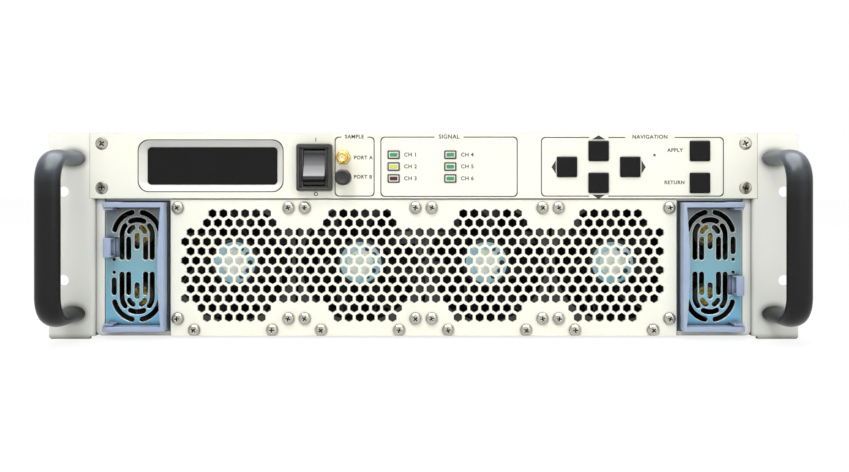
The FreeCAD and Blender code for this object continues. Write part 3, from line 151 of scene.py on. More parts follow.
def add(tree: Tree, kind: str, links: dict | None = None, **settings) -> bpy.types.Node:
    """Adds one shader node.

    Args:
        tree: the material's nodes.
        kind: the node's type, without its ShaderNode prefix.
        links: input names or numbers, each with an output to link or a value to set.
        settings: properties of the node.

    Returns:
        The node.
    """
    node = tree.nodes.new("ShaderNode" + kind)
    for key, value in settings.items():
        setattr(node, key, value)
    for key, value in (links or {}).items():
        if isinstance(value, Socket):
            tree.links.new(value, node.inputs[key])
        else:
            node.inputs[key].default_value = value
    return node


class Surface(Enum):
    """How a surface was made: the stretch of its grain along X, Y and Z."""

    EVEN = (1.0, 1.0, 1.0)
    BRUSHED_ACROSS = (0.03, 1.0, 1.0)
    DRAWN_ALONG = (1.0, 0.03, 1.0)


@dataclass(frozen=True)
class Finish:
    """One real material: its colours, its gloss, its grain and how its edges look, with any painted shade in
    its corners. Sizes are millimetres.
    """

    name: str
    colours: tuple
    rough: float
    grain: float = 0.5
    relief: float = 0.01
    patch: float = 30.0
    metal: float = 0.0
    specular: float = 0.5
    waxy: float = 0.0
    # An edge colour where the rounded normal turns: wear on some finishes, a painted highlight or a painted
    # shade line on others.
    edge: str = ""
    edge_width: float = 0.35
    # Painted shade: a darker colour laid into corners, grooves and recesses by ambient occlusion, and how far
    # it reaches.
    corner_shade: str = ""
    corner_shade_reach: float = 4.0
    surface: Surface = Surface.EVEN

    def colouring(self, tree: Tree, place: Socket) -> Socket:
        """Mixes the two colours in soft patches.

        Args:
            tree: the material's nodes.
            place: object coordinates.

        Returns:
            The colour output.
        """
        patches = add(tree, "TexNoise", {"Vector": place, "Scale": 1 / (self.patch * MM), "Detail": 4.0})
        steer = add(tree, "MapRange", {"Value": patches.outputs[0], "From Min": 0.35, "From Max": 0.65})
        one, other = map(tint, self.colours)
        return add(tree, "Mix", {0: steer.outputs[0], 6: one, 7: other}, data_type="RGBA").outputs[2]

    def edges_and_painted_shade(self, tree: Tree, colour: Socket,
             rounded: Socket) -> Socket:
        """Colours the edges, as wear on some finishes and as a painted highlight or shade line on others, and
        lays painted shade in the corners.

        Args:
            tree: the material's nodes.
            colour: the plain colour.
            rounded: the normal of the rounded edges.

        Returns:
            The colour output.
        """
        # Edge colour: wear on some finishes, painted highlight or painted shade on others.
        if self.edge:
            flat = add(tree, "NewGeometry").outputs["Normal"]
            turn = add(tree, "VectorMath", {0: rounded, 1: flat}, operation="DOT_PRODUCT")
            edge_wear_and_light = add(tree, "MapRange", {"Value": turn.outputs["Value"], "From Min": 0.99, "From Max": 0.88})
            mix = add(tree, "Mix", {0: edge_wear_and_light.outputs[0], 6: colour, 7: tint(self.edge)}, data_type="RGBA")
            colour = mix.outputs[2]
        # Painted shade: the colour darkens where ambient occlusion finds surfaces close by, in corners,
        # grooves and recesses.
        if self.corner_shade:
            air = add(tree, "AmbientOcclusion", {"Distance": self.corner_shade_reach * MM}, samples=8)
            clear = add(tree, "MapRange", {"Value": air.outputs["AO"], "From Min": 0.4, "From Max": 0.95})
            mix = add(tree, "Mix", {0: clear.outputs[0], 6: tint(self.corner_shade), 7: colour}, data_type="RGBA")
            colour = mix.outputs[2]
        return colour

    def build(self) -> bpy.types.Material:
        """Makes the material's nodes.

        Returns:
            The material.
        """
        material = bpy.data.materials.new(self.name)
        material.use_nodes = True
        tree = material.node_tree
        tree.nodes.clear()
        place = add(tree, "TexCoord").outputs["Object"]
        grain_place = add(tree, "Mapping", {0: place, "Scale": self.surface.value}).outputs[0]
        grain = add(tree, "TexNoise", {"Vector": grain_place, "Scale": 1 / (self.grain * MM),
                                       "Detail": 3.0}).outputs[0]
        rounded = add(tree, "Bevel", {"Radius": self.edge_width * MM}, samples=4).outputs[0]
        colour = self.edges_and_painted_shade(tree, self.colouring(tree, place), rounded)
        gloss = add(tree, "MapRange", {"Value": grain, "From Min": 0.3, "From Max": 0.7,
                                       "To Min": self.rough * 0.85, "To Max": min(1.0, self.rough * 1.15)})
        bump = add(tree, "Bump", {"Height": grain, "Distance": self.relief * MM, "Normal": rounded})
        inner = {"Subsurface Weight": self.waxy, "Subsurface Scale": MM} if self.waxy else {}
        shader = add(tree, "BsdfPrincipled", {
            "Base Color": colour, "Roughness": gloss.outputs[0], "Metallic": self.metal,
            "Normal": bump.outputs[0], "Specular IOR Level": self.specular, **inner})
        add(tree, "OutputMaterial", {"Surface": shader.outputs[0]})
        return material


@dataclass(frozen=True)
class HeightFade(Finish):
    """A finish whose colour changes with height. Its colours are heights in millimetres with their codes."""

    cloud: float = 0.0

    def colouring(self, tree: Tree, place: Socket) -> Socket:
        """Runs through the colours with the height, blurred by soft clouds.

        Args:
            tree: the material's nodes.
            place: object coordinates.

        Returns:
            The colour output.
        """
        (low, first), (high, last) = self.colours[0], self.colours[-1]
        patches = add(tree, "TexNoise", {"Vector": place, "Scale": 1 / (self.patch * MM), "Detail": 4.0})
        height = add(tree, "SeparateXYZ", {0: place}).outputs["Z"]
        blurred = add(tree, "Math", {0: patches.outputs[0], 1: self.cloud * MM, 2: height},
                      operation="MULTIPLY_ADD").outputs[0]
        lift = self.cloud / 2
        steer = add(tree, "MapRange", {"Value": blurred, "From Min": (low + lift) * MM,
                                       "From Max": (high + lift) * MM})
        ramp = add(tree, "ValToRGB", {0: steer.outputs[0]})
        marks = ramp.color_ramp.elements
        marks[0].color, marks[1].color = tint(first), tint(last)
        for at, code in self.colours[1:-1]:
            marks.new((at - low) / (high - low)).color = tint(code)
        return ramp.outputs[0]


FINISHES: dict[str, Finish] = {
    # Cream powder coat: even and matt, with the faint orange peel of baked powder; painted shade darkens its
    # edges and its corners.
    "panel_paint": Finish("cream_powder_coat", ("F2F2E5", "EEEEE1"), 0.5, grain=0.9, relief=0.012, patch=60.0,
                          specular=0.3, edge="A3A296", edge_width=0.28, corner_shade="7C7A6C", corner_shade_reach=1.3),
    # The same coat in a paler grey on the shell; painted shade darkens its folds and edges, and deeply its
    # corners and grooves.
    "chassis_paint": Finish("pale_powder_coat", ("ECEDE6", "E8E9E2"), 0.5, grain=0.9, relief=0.012,
                            patch=60.0, specular=0.3, edge="9A9A90", edge_width=0.28, corner_shade="4C4C43",
                            corner_shade_reach=4.5),
    # Black anodised aluminium: dark and satin, painted paler towards the top as a sheen where the bow bends
    # up to the light.
    "black_anodised": HeightFade(
        "black_anodised_aluminium",
        ((24.0, "0B0B0C"), (34.0, "1C1D1F"), (44.0, "3C4248"), (52.0, "666E78"), (55.0, "5A6066")),
        0.3, grain=0.4, relief=0.006, patch=25.0, specular=0.26),
    # Stainless screw steel: bright crowns, with painted shade darkening the recesses.
    "screw_steel": Finish("stainless_steel", ("BDBAB0", "A8A59A"), 0.24, grain=0.3, relief=0.006, patch=4.0,
                          metal=1.0, corner_shade="1C1B14", corner_shade_reach=2.0),
    # Zinc plated sheet: grey, cloudy and half bright.
    "zinc_sheet": Finish("zinc_plated_steel", ("A9ACAD", "969A9C"), 0.42, grain=1.5, patch=18.0, metal=0.9,
                         edge="D8DADA", surface=Surface.DRAWN_ALONG),
    # Blue passivated zinc, its colour running with height as painted light and shade: clear blue below,
    # greyer and darker towards the top as shade and the reflection of the panel above. Pale rims round the
    # punched slots are the burrs with a painted highlight, and painted shade darkens its corners.
    "blue_zinc": HeightFade(
        "blue_passivated_zinc",
        ((-61.0, "74B4D6"), (-38.0, "76B0C6"), (-8.0, "7DA5AC"), (6.0, "7C8B90"), (20.0, "626668")),
        0.42, grain=0.8, patch=18.0, metal=0.2, edge="FFF8E6", edge_width=0.9, corner_shade="20282C", cloud=14.0),
    # Periwinkle moulded nylon of the pull and the thumb tab: waxy and a little soft inside, with painted
    # highlights along its edges and painted shade in its corners and hollows.
    "module_blue": Finish("periwinkle_nylon", ("9CABC8", "A3B2C8"), 0.42, relief=0.008, patch=20.0, waxy=0.15,
                          edge="C9D4EA", corner_shade="26304E"),
    # Bezel lacquer: white, glossier than the panel, with painted shade greyer towards the top where it slopes
    # down to the window and darker in its corners, and a painted highlight on its edges.
    "bezel_white": HeightFade(
        "white_moulded_abs",
        ((28.0, "FAFAF8"), (36.0, "F4F3EC"), (52.0, "ECEADF"), (58.0, "D8D8D5"), (62.0, "CFCFCD")),
        0.36, grain=0.4, relief=0.006, patch=20.0, edge="FCFCFA", corner_shade="4E4E4A", corner_shade_reach=1.6),
    # Smoked acrylic: nearly black with a hard gloss.
    "smoked_window": Finish("smoked_acrylic", ("09090B", "0C0C0E"), 0.1, grain=2.0, relief=0.002, patch=40.0,
                            specular=0.2),
    # Black moulded frame of the display behind the window: matt.
    "display_body": Finish("black_display_frame", ("161718", "1B1C1D"), 0.5, grain=0.6),
    # Black nylon of the switch guard: satin, with grey painted highlights along its edges and painted shade
    # in its groove.
    "switch_black": Finish("black_nylon", ("3A3A3A", "434342"), 0.55, grain=0.35, patch=12.0, specular=0.15,
                           edge="8E8C86", edge_width=0.5, corner_shade="080808", corner_shade_reach=2.5),
    # The rocker's glossy face, with its light and shade painted on by height: dark at the top, a painted
    # highlight towards the end that stands out, painted black shade below it, and a lit grey ledge painted
    # lower still.
    "rocker_black": HeightFade(
        "grey_gloss_nylon",
        ((32.0, "505050"), (33.4, "606062"), (34.6, "383839"), (35.1, "0A0A0B"), (38.3, "0C0C0D"),
         (38.9, "B4B4B6"), (42.5, "989898"), (45.0, "8A8A8C"), (48.5, "6C6C6E"), (53.0, "343436"),
         (54.5, "5A5A5C")), 0.3, grain=0.35, relief=0.004, patch=12.0, specular=0.1),
    # Hard gold plate over brass: warm and bright, with painted shade in its recesses.
    "gold_plate": Finish("gold_plate", ("FFDC78", "F8CA5C"), 0.22, grain=0.3, relief=0.004, patch=3.0,
                         metal=1.0, corner_shade="7A4A12", corner_shade_reach=1.5),
    # Soft vinyl of the dust cap: black with a dull sheen.
    "cap_black": Finish("black_vinyl", ("242021", "282425"), 0.5, grain=0.4, relief=0.012, patch=8.0,
                        specular=0.4),
    # White lamp frames: smooth and bright.
    "lamp_frame": Finish("white_polycarbonate", ("FAFAF8", "F4F4F0"), 0.35, grain=0.4, relief=0.004,
                         patch=5.0),
    # Diffusing polycarbonate lenses: deep colour in the middle, with a painted glow at the rim, as if lamp
    # light leaked there.
    "lens_green": Finish("green_polycarbonate", ("3C8E55", "449A5F"), 0.3, grain=0.6, patch=1.5,
                         edge="8FD9AE", edge_width=0.45),
    "lens_yellow": Finish("yellow_polycarbonate", ("C8C93A", "D2D34C"), 0.3, grain=0.6, patch=1.5,
                          edge="F2ECA6", edge_width=0.45),
    "lens_red": Finish("red_polycarbonate", ("4A0D14", "56111A"), 0.3, grain=0.6, patch=1.5, edge="9A6066"),
    # Black key caps: moulded with a fine spark texture, with a painted highlight along their rounded edges.
    "key_black": Finish("black_abs", ("0A090B", "0E0D10"), 0.5, grain=0.3, relief=0.012, patch=9.0,
                        specular=0.15, edge="242427", edge_width=0.4),
    # Circuit board: green lacquer, uneven over the copper below it.
    "board": Finish("green_circuit_board", ("1F5A3A", "2A6B47"), 0.4, grain=1.2, relief=0.02, patch=6.0),
    # Glass filled plastic of the fans: brown-black and dull.
    "fan_black": Finish("black_fan_plastic", ("1F1E1B", "252420"), 0.5, grain=0.6, patch=15.0, edge="33322E"),
    # Bare machined aluminium: pale, with the long lines of the cutter.
    "bare_aluminium": Finish("machined_aluminium", ("BFC1C3", "B1B3B6"), 0.34, grain=1.2, patch=25.0,
                             metal=1.0, surface=Surface.BRUSHED_ACROSS),
    # Rigid coaxial line: drawn copper, warm and half bright.
    "copper_line": Finish("copper_tube", ("B56C45", "A45E3A"), 0.34, relief=0.006, patch=8.0, metal=1.0),
    # Nickel plate of the rear connectors: bright, with painted shade dark between the threads.
    "plated_connector": Finish("nickel_plate", ("CFCCC4", "BDBAB2"), 0.24, grain=0.3, relief=0.004, patch=5.0,
                               metal=1.0, corner_shade="3A3833", corner_shade_reach=1.5),
    # Moulded nylon of the mains inlets: black, grey at its edges.
    "inlet_black": Finish("black_inlet_nylon", ("1E1F20", "242526"), 0.45, grain=0.4, patch=10.0,
                          edge="3F4042"),
}
# Powder coat of the ears: cream beside the panel, greyer lower down, with darker edges and a dark groove at
# the strips that are painted shade.
EAR_PAINT = HeightFade(
    "ear_powder_coat", ((-66.0, "E0E1DA"), (20.0, "E6E7E0"), (40.0, "F2F2E8"), (66.0, "F5F5EB")), 0.5,
    grain=0.9, relief=0.012, patch=60.0, specular=0.3, edge="9A9A90", edge_width=0.28, corner_shade="4C4C43",
    corner_shade_reach=4.5)
OWN_FINISH: dict[str, Finish] = {"ear_left": EAR_PAINT, "ear_right": EAR_PAINT}
# Screen printed ink: black and matt, a hair thick.
LEGEND = Finish("black_screen_ink", ("1F1F1F", "262626"), 0.6, grain=0.3, relief=0.004, patch=3.0)
# Coated paper labels on the fan hubs: a blue ring round a pale cream and cyan middle, with dark dots.
LABEL_RING = Finish("blue_label_paper", ("A4D6EA", "C2E0E8"), 0.32, relief=0.002, patch=6.0)
LABEL_FACE = Finish("pale_label_paper", ("EAFAFA", "FBF6E8"), 0.32, relief=0.002, patch=4.0)
LABEL_DOTS = Finish("dark_label_ink", ("16283A", "1D2F42"), 0.4, grain=0.3, relief=0.002, patch=2.0)
# Paper label on the small hubs: yellow with dark patches.
SMALL_LABEL = Finish("yellow_label_paper", ("2A2824", "CDB044"), 0.4, grain=0.4, relief=0.002, patch=2.2)
# Insulator of the jacks: a warm white, waxy plastic.
INSULATOR = Finish("warm_ptfe", ("F4E9C6", "EFE2B8"), 0.35, grain=0.4, relief=0.004, patch=5.0)
# Rubber gasket of the lamps: black without gloss.
LAMP_SEAL = Finish("dark_rubber_gasket", ("0E0A0B", "151012"), 0.8, grain=0.4, relief=0.004, patch=5.0)
PAPER_WHITE = "FFFFFF"


class Paintbox:
    """Builds each finish once and puts it on pieces and nodes."""

    def __init__(self) -> None:
        """Starts with nothing built."""
        self.built: dict[str, bpy.types.Material] = {}

    def get(self, finish: Finish) -> bpy.types.Material:
        """Gives a finish's material, built on first use."""
        if finish.name not in self.built:
            self.built[finish.name] = finish.build()
        return self.built[finish.name]

    def paint(self, piece: Piece, finish: Finish) -> None:
        """Puts a finish on a whole mesh."""
        piece.data.materials.clear()
        piece.data.materials.append(self.get(finish))

    def dress_nodes(self, slots: dict[str, str]) -> None:
        """Puts the record's slots on the CAD nodes, or a node's own finish.

        Args:
            slots: the slot of each node.
        """
        for node, slot in slots.items():
            self.paint(frame["nodes"][node], OWN_FINISH.get(node, FINISHES[slot]))
        LOG.info("dressed %d nodes", len(slots))

    def dress_faces(self, node: str, finish: Finish, rule: Rule) -> None:
        """Puts another finish on some faces of a CAD node.

        Args:
            node: the node's name.
            finish: what those faces are made of.
            rule: takes a face's centre, in metres, and its normal.
        """
        mesh = frame["nodes"][node].data
        mesh.materials.append(self.get(finish))
        for face in mesh.polygons:
            if rule(face.center, face.normal):
                face.material_index = len(mesh.materials) - 1


# Modelling

def clear_bench() -> None:
    """Goes back to object mode with nothing selected."""
    if bpy.context.mode != "OBJECT":
        bpy.ops.object.mode_set(mode="OBJECT")
    bpy.ops.object.select_all(action="DESELECT")


def begin(kind: str, name: str, **options) -> Piece:
    """Adds a primitive with nothing else selected, and puts its place into its mesh.

    Args:
        kind: the primitive, such as cube or cylinder.
        name: the piece's name.
        options: the primitive's settings, in millimetres.

    Returns:
        The new object.
    """
    clear_bench()
    getattr(bpy.ops.mesh, f"primitive_{kind}_add")(**options)
    piece = bpy.context.object
    piece.name = name
    bpy.ops.object.transform_apply(location=True, rotation=True, scale=True)
    return piece


def block(name: str, place: Point, size: Point) -> Piece:
    """Begins with a block of this size round a place, in millimetres."""
    return begin("cube", name, size=1, location=place, scale=size)


def rod(name: str, sides: int, radius: float, length: float, z: float = 0.0) -> Piece:
    """Begins with an upright rod, its middle at this height, in millimetres."""
    return begin("cylinder", name, vertices=sides, radius=radius, depth=length, location=(0, 0, z))


def settle(piece: Piece) -> None:
    """Goes back to object mode with one piece selected.

    Args:
        piece: what the next step works on.
    """
    clear_bench()
    piece.select_set(True)
    bpy.context.view_layer.objects.active = piece


class Part(Enum):
    """What of a mesh is picked: its points, edges or faces."""

    POINTS = (True, False, False)
    EDGES = (False, True, False)
    FACES = (False, False, True)


def anywhere(centre: Vector, normal: Vector) -> bool:
    """Takes everything."""
    return True


def choose(piece: Piece, rule: Rule = anywhere, part: Part = Part.FACES) -> None:
    """Opens a piece in edit mode with only what a rule takes selected.

    Args:
        piece: the mesh.
        rule: takes a centre and a normal, or an edge's direction.
        part: whether it picks points, edges or faces.
    """
    settle(piece)
    mesh = piece.data
    for group in (mesh.vertices, mesh.edges, mesh.polygons):
        group.foreach_set("select", [False] * len(group))
    bpy.context.tool_settings.mesh_select_mode = part.value
    if part is Part.POINTS:
        for point in mesh.vertices:
            point.select = rule(point.co, point.normal)
    elif part is Part.EDGES:
        for edge in mesh.edges:
            one, two = (mesh.vertices[end].co for end in edge.vertices)
            edge.select = rule((one + two) / 2, (two - one).normalized())
    else:
        for face in mesh.polygons:
            face.select = rule(face.center, face.normal)
    bpy.ops.object.mode_set(mode="EDIT")


def shift(piece: Piece, rule: Rule, step: Point, part: Part = Part.POINTS) -> None:
    """Moves what a rule takes.

    Args:
        piece: the mesh.
        rule: picks what moves.
        step: how far, in millimetres.
        part: whether it picks points, edges or faces.
    """
    choose(piece, rule, part)
    bpy.ops.transform.translate(value=step)


def rim(piece: Piece, rule: Rule, width: float, segments: int = 3) -> None:
    """Rounds the edges that a rule takes.

    Args:
        piece: the mesh.
        rule: picks edges.
        width: the rounding, in millimetres.
        segments: its steps.
    """
    choose(piece, rule, Part.EDGES)
    bpy.ops.mesh.bevel(offset=width, segments=segments, affect="EDGES")
    settle(piece)


def pull(x: float, y: float, z: float) -> None:
    """Extrudes the selection along a step, in millimetres."""
    bpy.ops.mesh.extrude_region_move(TRANSFORM_OT_translate={"value": (x, y, z)})


def close_up(piece: Piece) -> None:
    """Merges doubled points, turns the faces outwards and goes back to object mode.

    Args:
        piece: the swept mesh, open in edit mode.
    """
    bpy.ops.mesh.select_all(action="SELECT")
    bpy.ops.mesh.remove_doubles(threshold=NEAR)
    bpy.ops.mesh.normals_make_consistent(inside=False)
    settle(piece)


def modify(piece: Piece, kind: str, **settings) -> None:
    """Adds a modifier and applies it.

    Args:
        piece: the mesh.
        kind: the modifier's type.
        settings: its settings.
    """
    settle(piece)
    modifier = piece.modifiers.new(kind.lower(), kind)
    for key, value in settings.items():
        setattr(modifier, key, value)
    bpy.ops.object.modifier_apply(modifier=modifier.name)


def soften(piece: Piece, width: float, segments: int = 2) -> None:
    """Rounds a piece's sharp edges.

    Args:
        piece: the mesh.
        width: how far from each edge, in millimetres.
        segments: steps of the rounding.
    """
    modify(piece, "BEVEL", width=width, segments=segments, limit_method="ANGLE",
           angle_limit=math.radians(30), use_clamp_overlap=True)


def carve(piece: Piece, cutter: Piece) -> None:
    """Cuts one shape out of another and removes the cutter."""
    modify(piece, "BOOLEAN", object=cutter, operation="DIFFERENCE", solver="EXACT")
    bpy.data.objects.remove(cutter)


def move(piece: Piece, matrix: Matrix) -> None:
    """Moves a piece's mesh."""
    settle(piece)
    piece.data.transform(matrix)


def twin(piece: Piece) -> Piece:
    """Copies a piece.

    Args:
        piece: the mesh.

    Returns:
        The copy, with its own mesh.
    """
    copy = piece.copy()
    copy.data = piece.data.copy()
    bpy.context.scene.collection.objects.link(copy)
    return copy


def join(pieces: list[Piece], name: str) -> Piece:
    """Joins pieces into one mesh.

    Args:
        pieces: the meshes.
        name: the name of the whole.

    Returns:
        The joined object.
    """
    settle(pieces[0])
    for piece in pieces:
        piece.select_set(True)
    bpy.ops.object.join()
    pieces[0].name = name
    return pieces[0]


def repeat(piece: Piece, places: list[Matrix]) -> Piece:
    """Copies a shape to each place and joins the copies.

    Args:
        piece: the shape, modelled round the origin; it is used up.
        places: where each copy goes.

    Returns:
        The joined copies.
    """
    name, made = piece.name, []
    for place in places:
        made.append(twin(piece))
        made[-1].data.transform(place)
    bpy.data.objects.remove(piece)
    return join(made, name)


def turned(name: str, rings: list[Ring], sides: int = 40) -> Piece:
    """Turns a round piece about the Z axis, ring by ring.

    Args:
        name: the piece's name.
        rings: radius and height of each ring, from one closed end to the other.
        sides: faces round it.

    Returns:
        The piece, modelled facing up.
    """
    radius, height = rings[0]
    piece = begin("circle", name, vertices=sides, radius=radius, location=(0, 0, height), fill_type="NGON")
    choose(piece)
    for next_radius, next_height in rings[1:]:
        pull(0, 0, next_height - height)
        grow = next_radius / radius
        bpy.ops.transform.resize(value=(grow, grow, 1), center_override=(0, 0, 0))
        radius, height = next_radius, next_height
    close_up(piece)
    return piece


def thread(radius: float, start: float, end: float, pitch: float) -> list[Ring]:
    """Gives the rings of a screw thread.

    Args:
        radius: over the crests.
        start: its first height.
        end: its last height.
        pitch: from crest to crest.

    Returns:
        Radius and height of each root and crest.
    """
    count = round((end - start) / pitch)
    step = (end - start) / count
    rings = []
    for crest in range(count):
        rings += [(radius - pitch / 2, start + crest * step), (radius, start + (crest + 0.5) * step)]
    return rings


@dataclass
class CrossHeadScrew:
    """The head of a cross-recess screw, modelled facing up on z = 0."""

    width: float = 7.3
    height: float = 2.6
    recess: float = 3.9
    slot: float = 1.05
    crown: tuple[Ring, ...] = ((0.35, 0.45), (0.75, 0.4), (1.2, 0.18))
    seat: float = 0.12
    recess_depth: float = 1.3

    def domed(self, name: str) -> Piece:
        """Models a pan head.

        Args:
            name: the piece's name.

        Returns:
            One screw head.
        """
        wall = self.height * 0.6
        piece = rod(name, 28, self.width / 2, wall, wall / 2)
        choose(piece, Way.UP.faces)
        for inward, rise in self.crown:
            bpy.ops.mesh.inset(thickness=inward, depth=rise)
        return self.crossed(piece, self.height)

    def sunk(self, name: str) -> Piece:
        """Models a countersunk head with a narrow rim round it.

        Args:
            name: the piece's name.

        Returns:
            One screw head.
        """
        piece = begin("cone", name, vertices=28, radius1=self.width / 2 - 1.6, radius2=self.width / 2,
                      depth=self.height, location=(0, 0, -self.height / 2))
        choose(piece, Way.UP.faces)
        bpy.ops.mesh.inset(thickness=0.3, depth=self.seat)
        return self.crossed(piece, self.seat)

    def crossed(self, piece: Piece, top: float) -> Piece:
        """Cuts the cross recess, narrower at its floor.

        Args:
            piece: the head.
            top: the height of its crown.

        Returns:
            The head with its recess.
        """
        for length, width in ((self.recess, self.slot), (self.slot, self.recess)):
            cutter = block("cross", (0, 0, top), (length, width, 2 * self.recess_depth))
            shift(cutter, Way.DOWN.faces, (0, 0, 0.1), Part.FACES)
            bpy.ops.transform.resize(value=(0.6, 0.6, 1))
            carve(piece, cutter)
        return piece


@dataclass
class Fitting:
    """A group of pieces that is modelled, dressed from the paintbox and put on its body."""

    paintbox: Paintbox

    def hand_over(self, piece: Piece, body: str, slot: str, finish: Finish | None = None,
                  replaced: tuple[str, ...] = (), smooth: float = 35.0) -> None:
        """Finishes one piece.

        Args:
            piece: a mesh in millimetres.
            body: the CAD body it rides on.
            slot: the record's material slot.
            finish: what it is made of, if not the slot's own finish.
            replaced: the CAD nodes that it stands for.
            smooth: the angle up to which faces are shaded as one, in degrees.
        """
        settle(piece)
        piece.data.transform(Matrix.Diagonal((MM, MM, MM, 1.0)))
        bpy.ops.object.shade_smooth_by_angle(angle=math.radians(smooth))
        self.paintbox.paint(piece, finish or FINISHES[slot])
        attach(piece, body)
        if replaced:
            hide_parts(*replaced)
        LOG.info("%s: %d faces", piece.name, len(piece.data.polygons))

    def drive(self, head: Piece, places: list[Matrix], *replaced: str) -> None:
        """Copies a screw head to its places in the chassis.

        Args:
            head: one screw head.
            places: where each copy goes.
            replaced: the CAD nodes that the screws stand for.
        """
        self.hand_over(repeat(head, places), "chassis", "screw_steel", replaced=replaced)


@dataclass
class BowHandle(Fitting):
    """A black oval bar bent into a bow on one ear."""

    side: Side
    width: float = 15.6
    depth: float = 9.6
    bend: float = 15.0
    reach: float = 41.98
    spacing: float = 100.0
    steps: int = 10

    def turn(self, x: float, y: float, z: float) -> None:
        """Sweeps the selection a quarter turn about a level axis through a place."""
        bpy.ops.mesh.spin(steps=self.steps, angle=-math.pi / 2, center=(x, y, z), axis=(1, 0, 0))

    def build(self) -> None:
        """Sweeps the oval from foot to foot."""
        node = f"handle_{self.side.value}"
        x = middle(node).x
        turn_y = FRONT - self.reach + self.depth / 2 + self.bend
        foot, pivot = self.spacing / 2, self.spacing / 2 - self.bend
        piece = begin("circle", f"bow_{node}", vertices=40, radius=1.0, fill_type="NGON")
        oval = Matrix.Diagonal((self.width / 2, self.depth / 2, 1.0, 1.0))
        move(piece, Way.FRONT.at(x, FRONT, foot) @ oval)
        choose(piece)
        pull(0, turn_y - FRONT, 0)
        self.turn(x, turn_y, pivot)
        pull(0, 0, -2 * pivot)
        self.turn(x, turn_y, -pivot)
        pull(0, FRONT - turn_y, 0)
        close_up(piece)
        self.hand_over(piece, "chassis", "black_anodised", replaced=(node,))


@dataclass
class FrontScrews(Fitting):
    """The screws of the fan plate and the control panel."""

    fan_pitch: float = 82.0
    fan_spacing: float = 71.5
    fan_z: float = -17.65
    plate_front: float = -1.5
    lower_offset: float = 25.2
    lower_z: float = -60.8
    panel_x: float = 207.4
    panel_rise: float = 14.3
    turn: float = 37.0

    def facing(self, x: float, y: float, z: float, number: int) -> Matrix:
        """Places a screw head facing the front, each turned as its thread stopped."""
        return Way.FRONT.at(x, y, z) @ Matrix.Rotation(math.radians(self.turn * number % 90), 4, "Z")

    def build(self) -> None:
        """Models both kinds of screw and copies them to their places."""
        centres = [(column - 1.5) * self.fan_pitch for column in range(4)]
        half = self.fan_spacing / 2
        spots = [(x + dx, self.fan_z + dz) for x in centres for dx in (-half, half) for dz in (-half, half)]
        spots += [(x + dx, self.lower_z) for x in centres for dx in (-self.lower_offset, self.lower_offset)]
        self.drive(CrossHeadScrew().domed("fan_plate_screw_heads"),
                   [self.facing(x, self.plate_front, z, number) for number, (x, z) in enumerate(spots)],
                   "fan_plate_screws")
        z = middle("control_panel").z
        corners = [(x, z + rise) for x in (-self.panel_x, self.panel_x)
                   for rise in (-self.panel_rise, self.panel_rise)]
        self.drive(CrossHeadScrew(width=7.8, height=2.1, recess=5.0, slot=1.3).sunk("panel_screw_heads"),
                   [self.facing(x, FRONT, z, number) for number, (x, z) in enumerate(corners)],
                   "control_panel_screws")


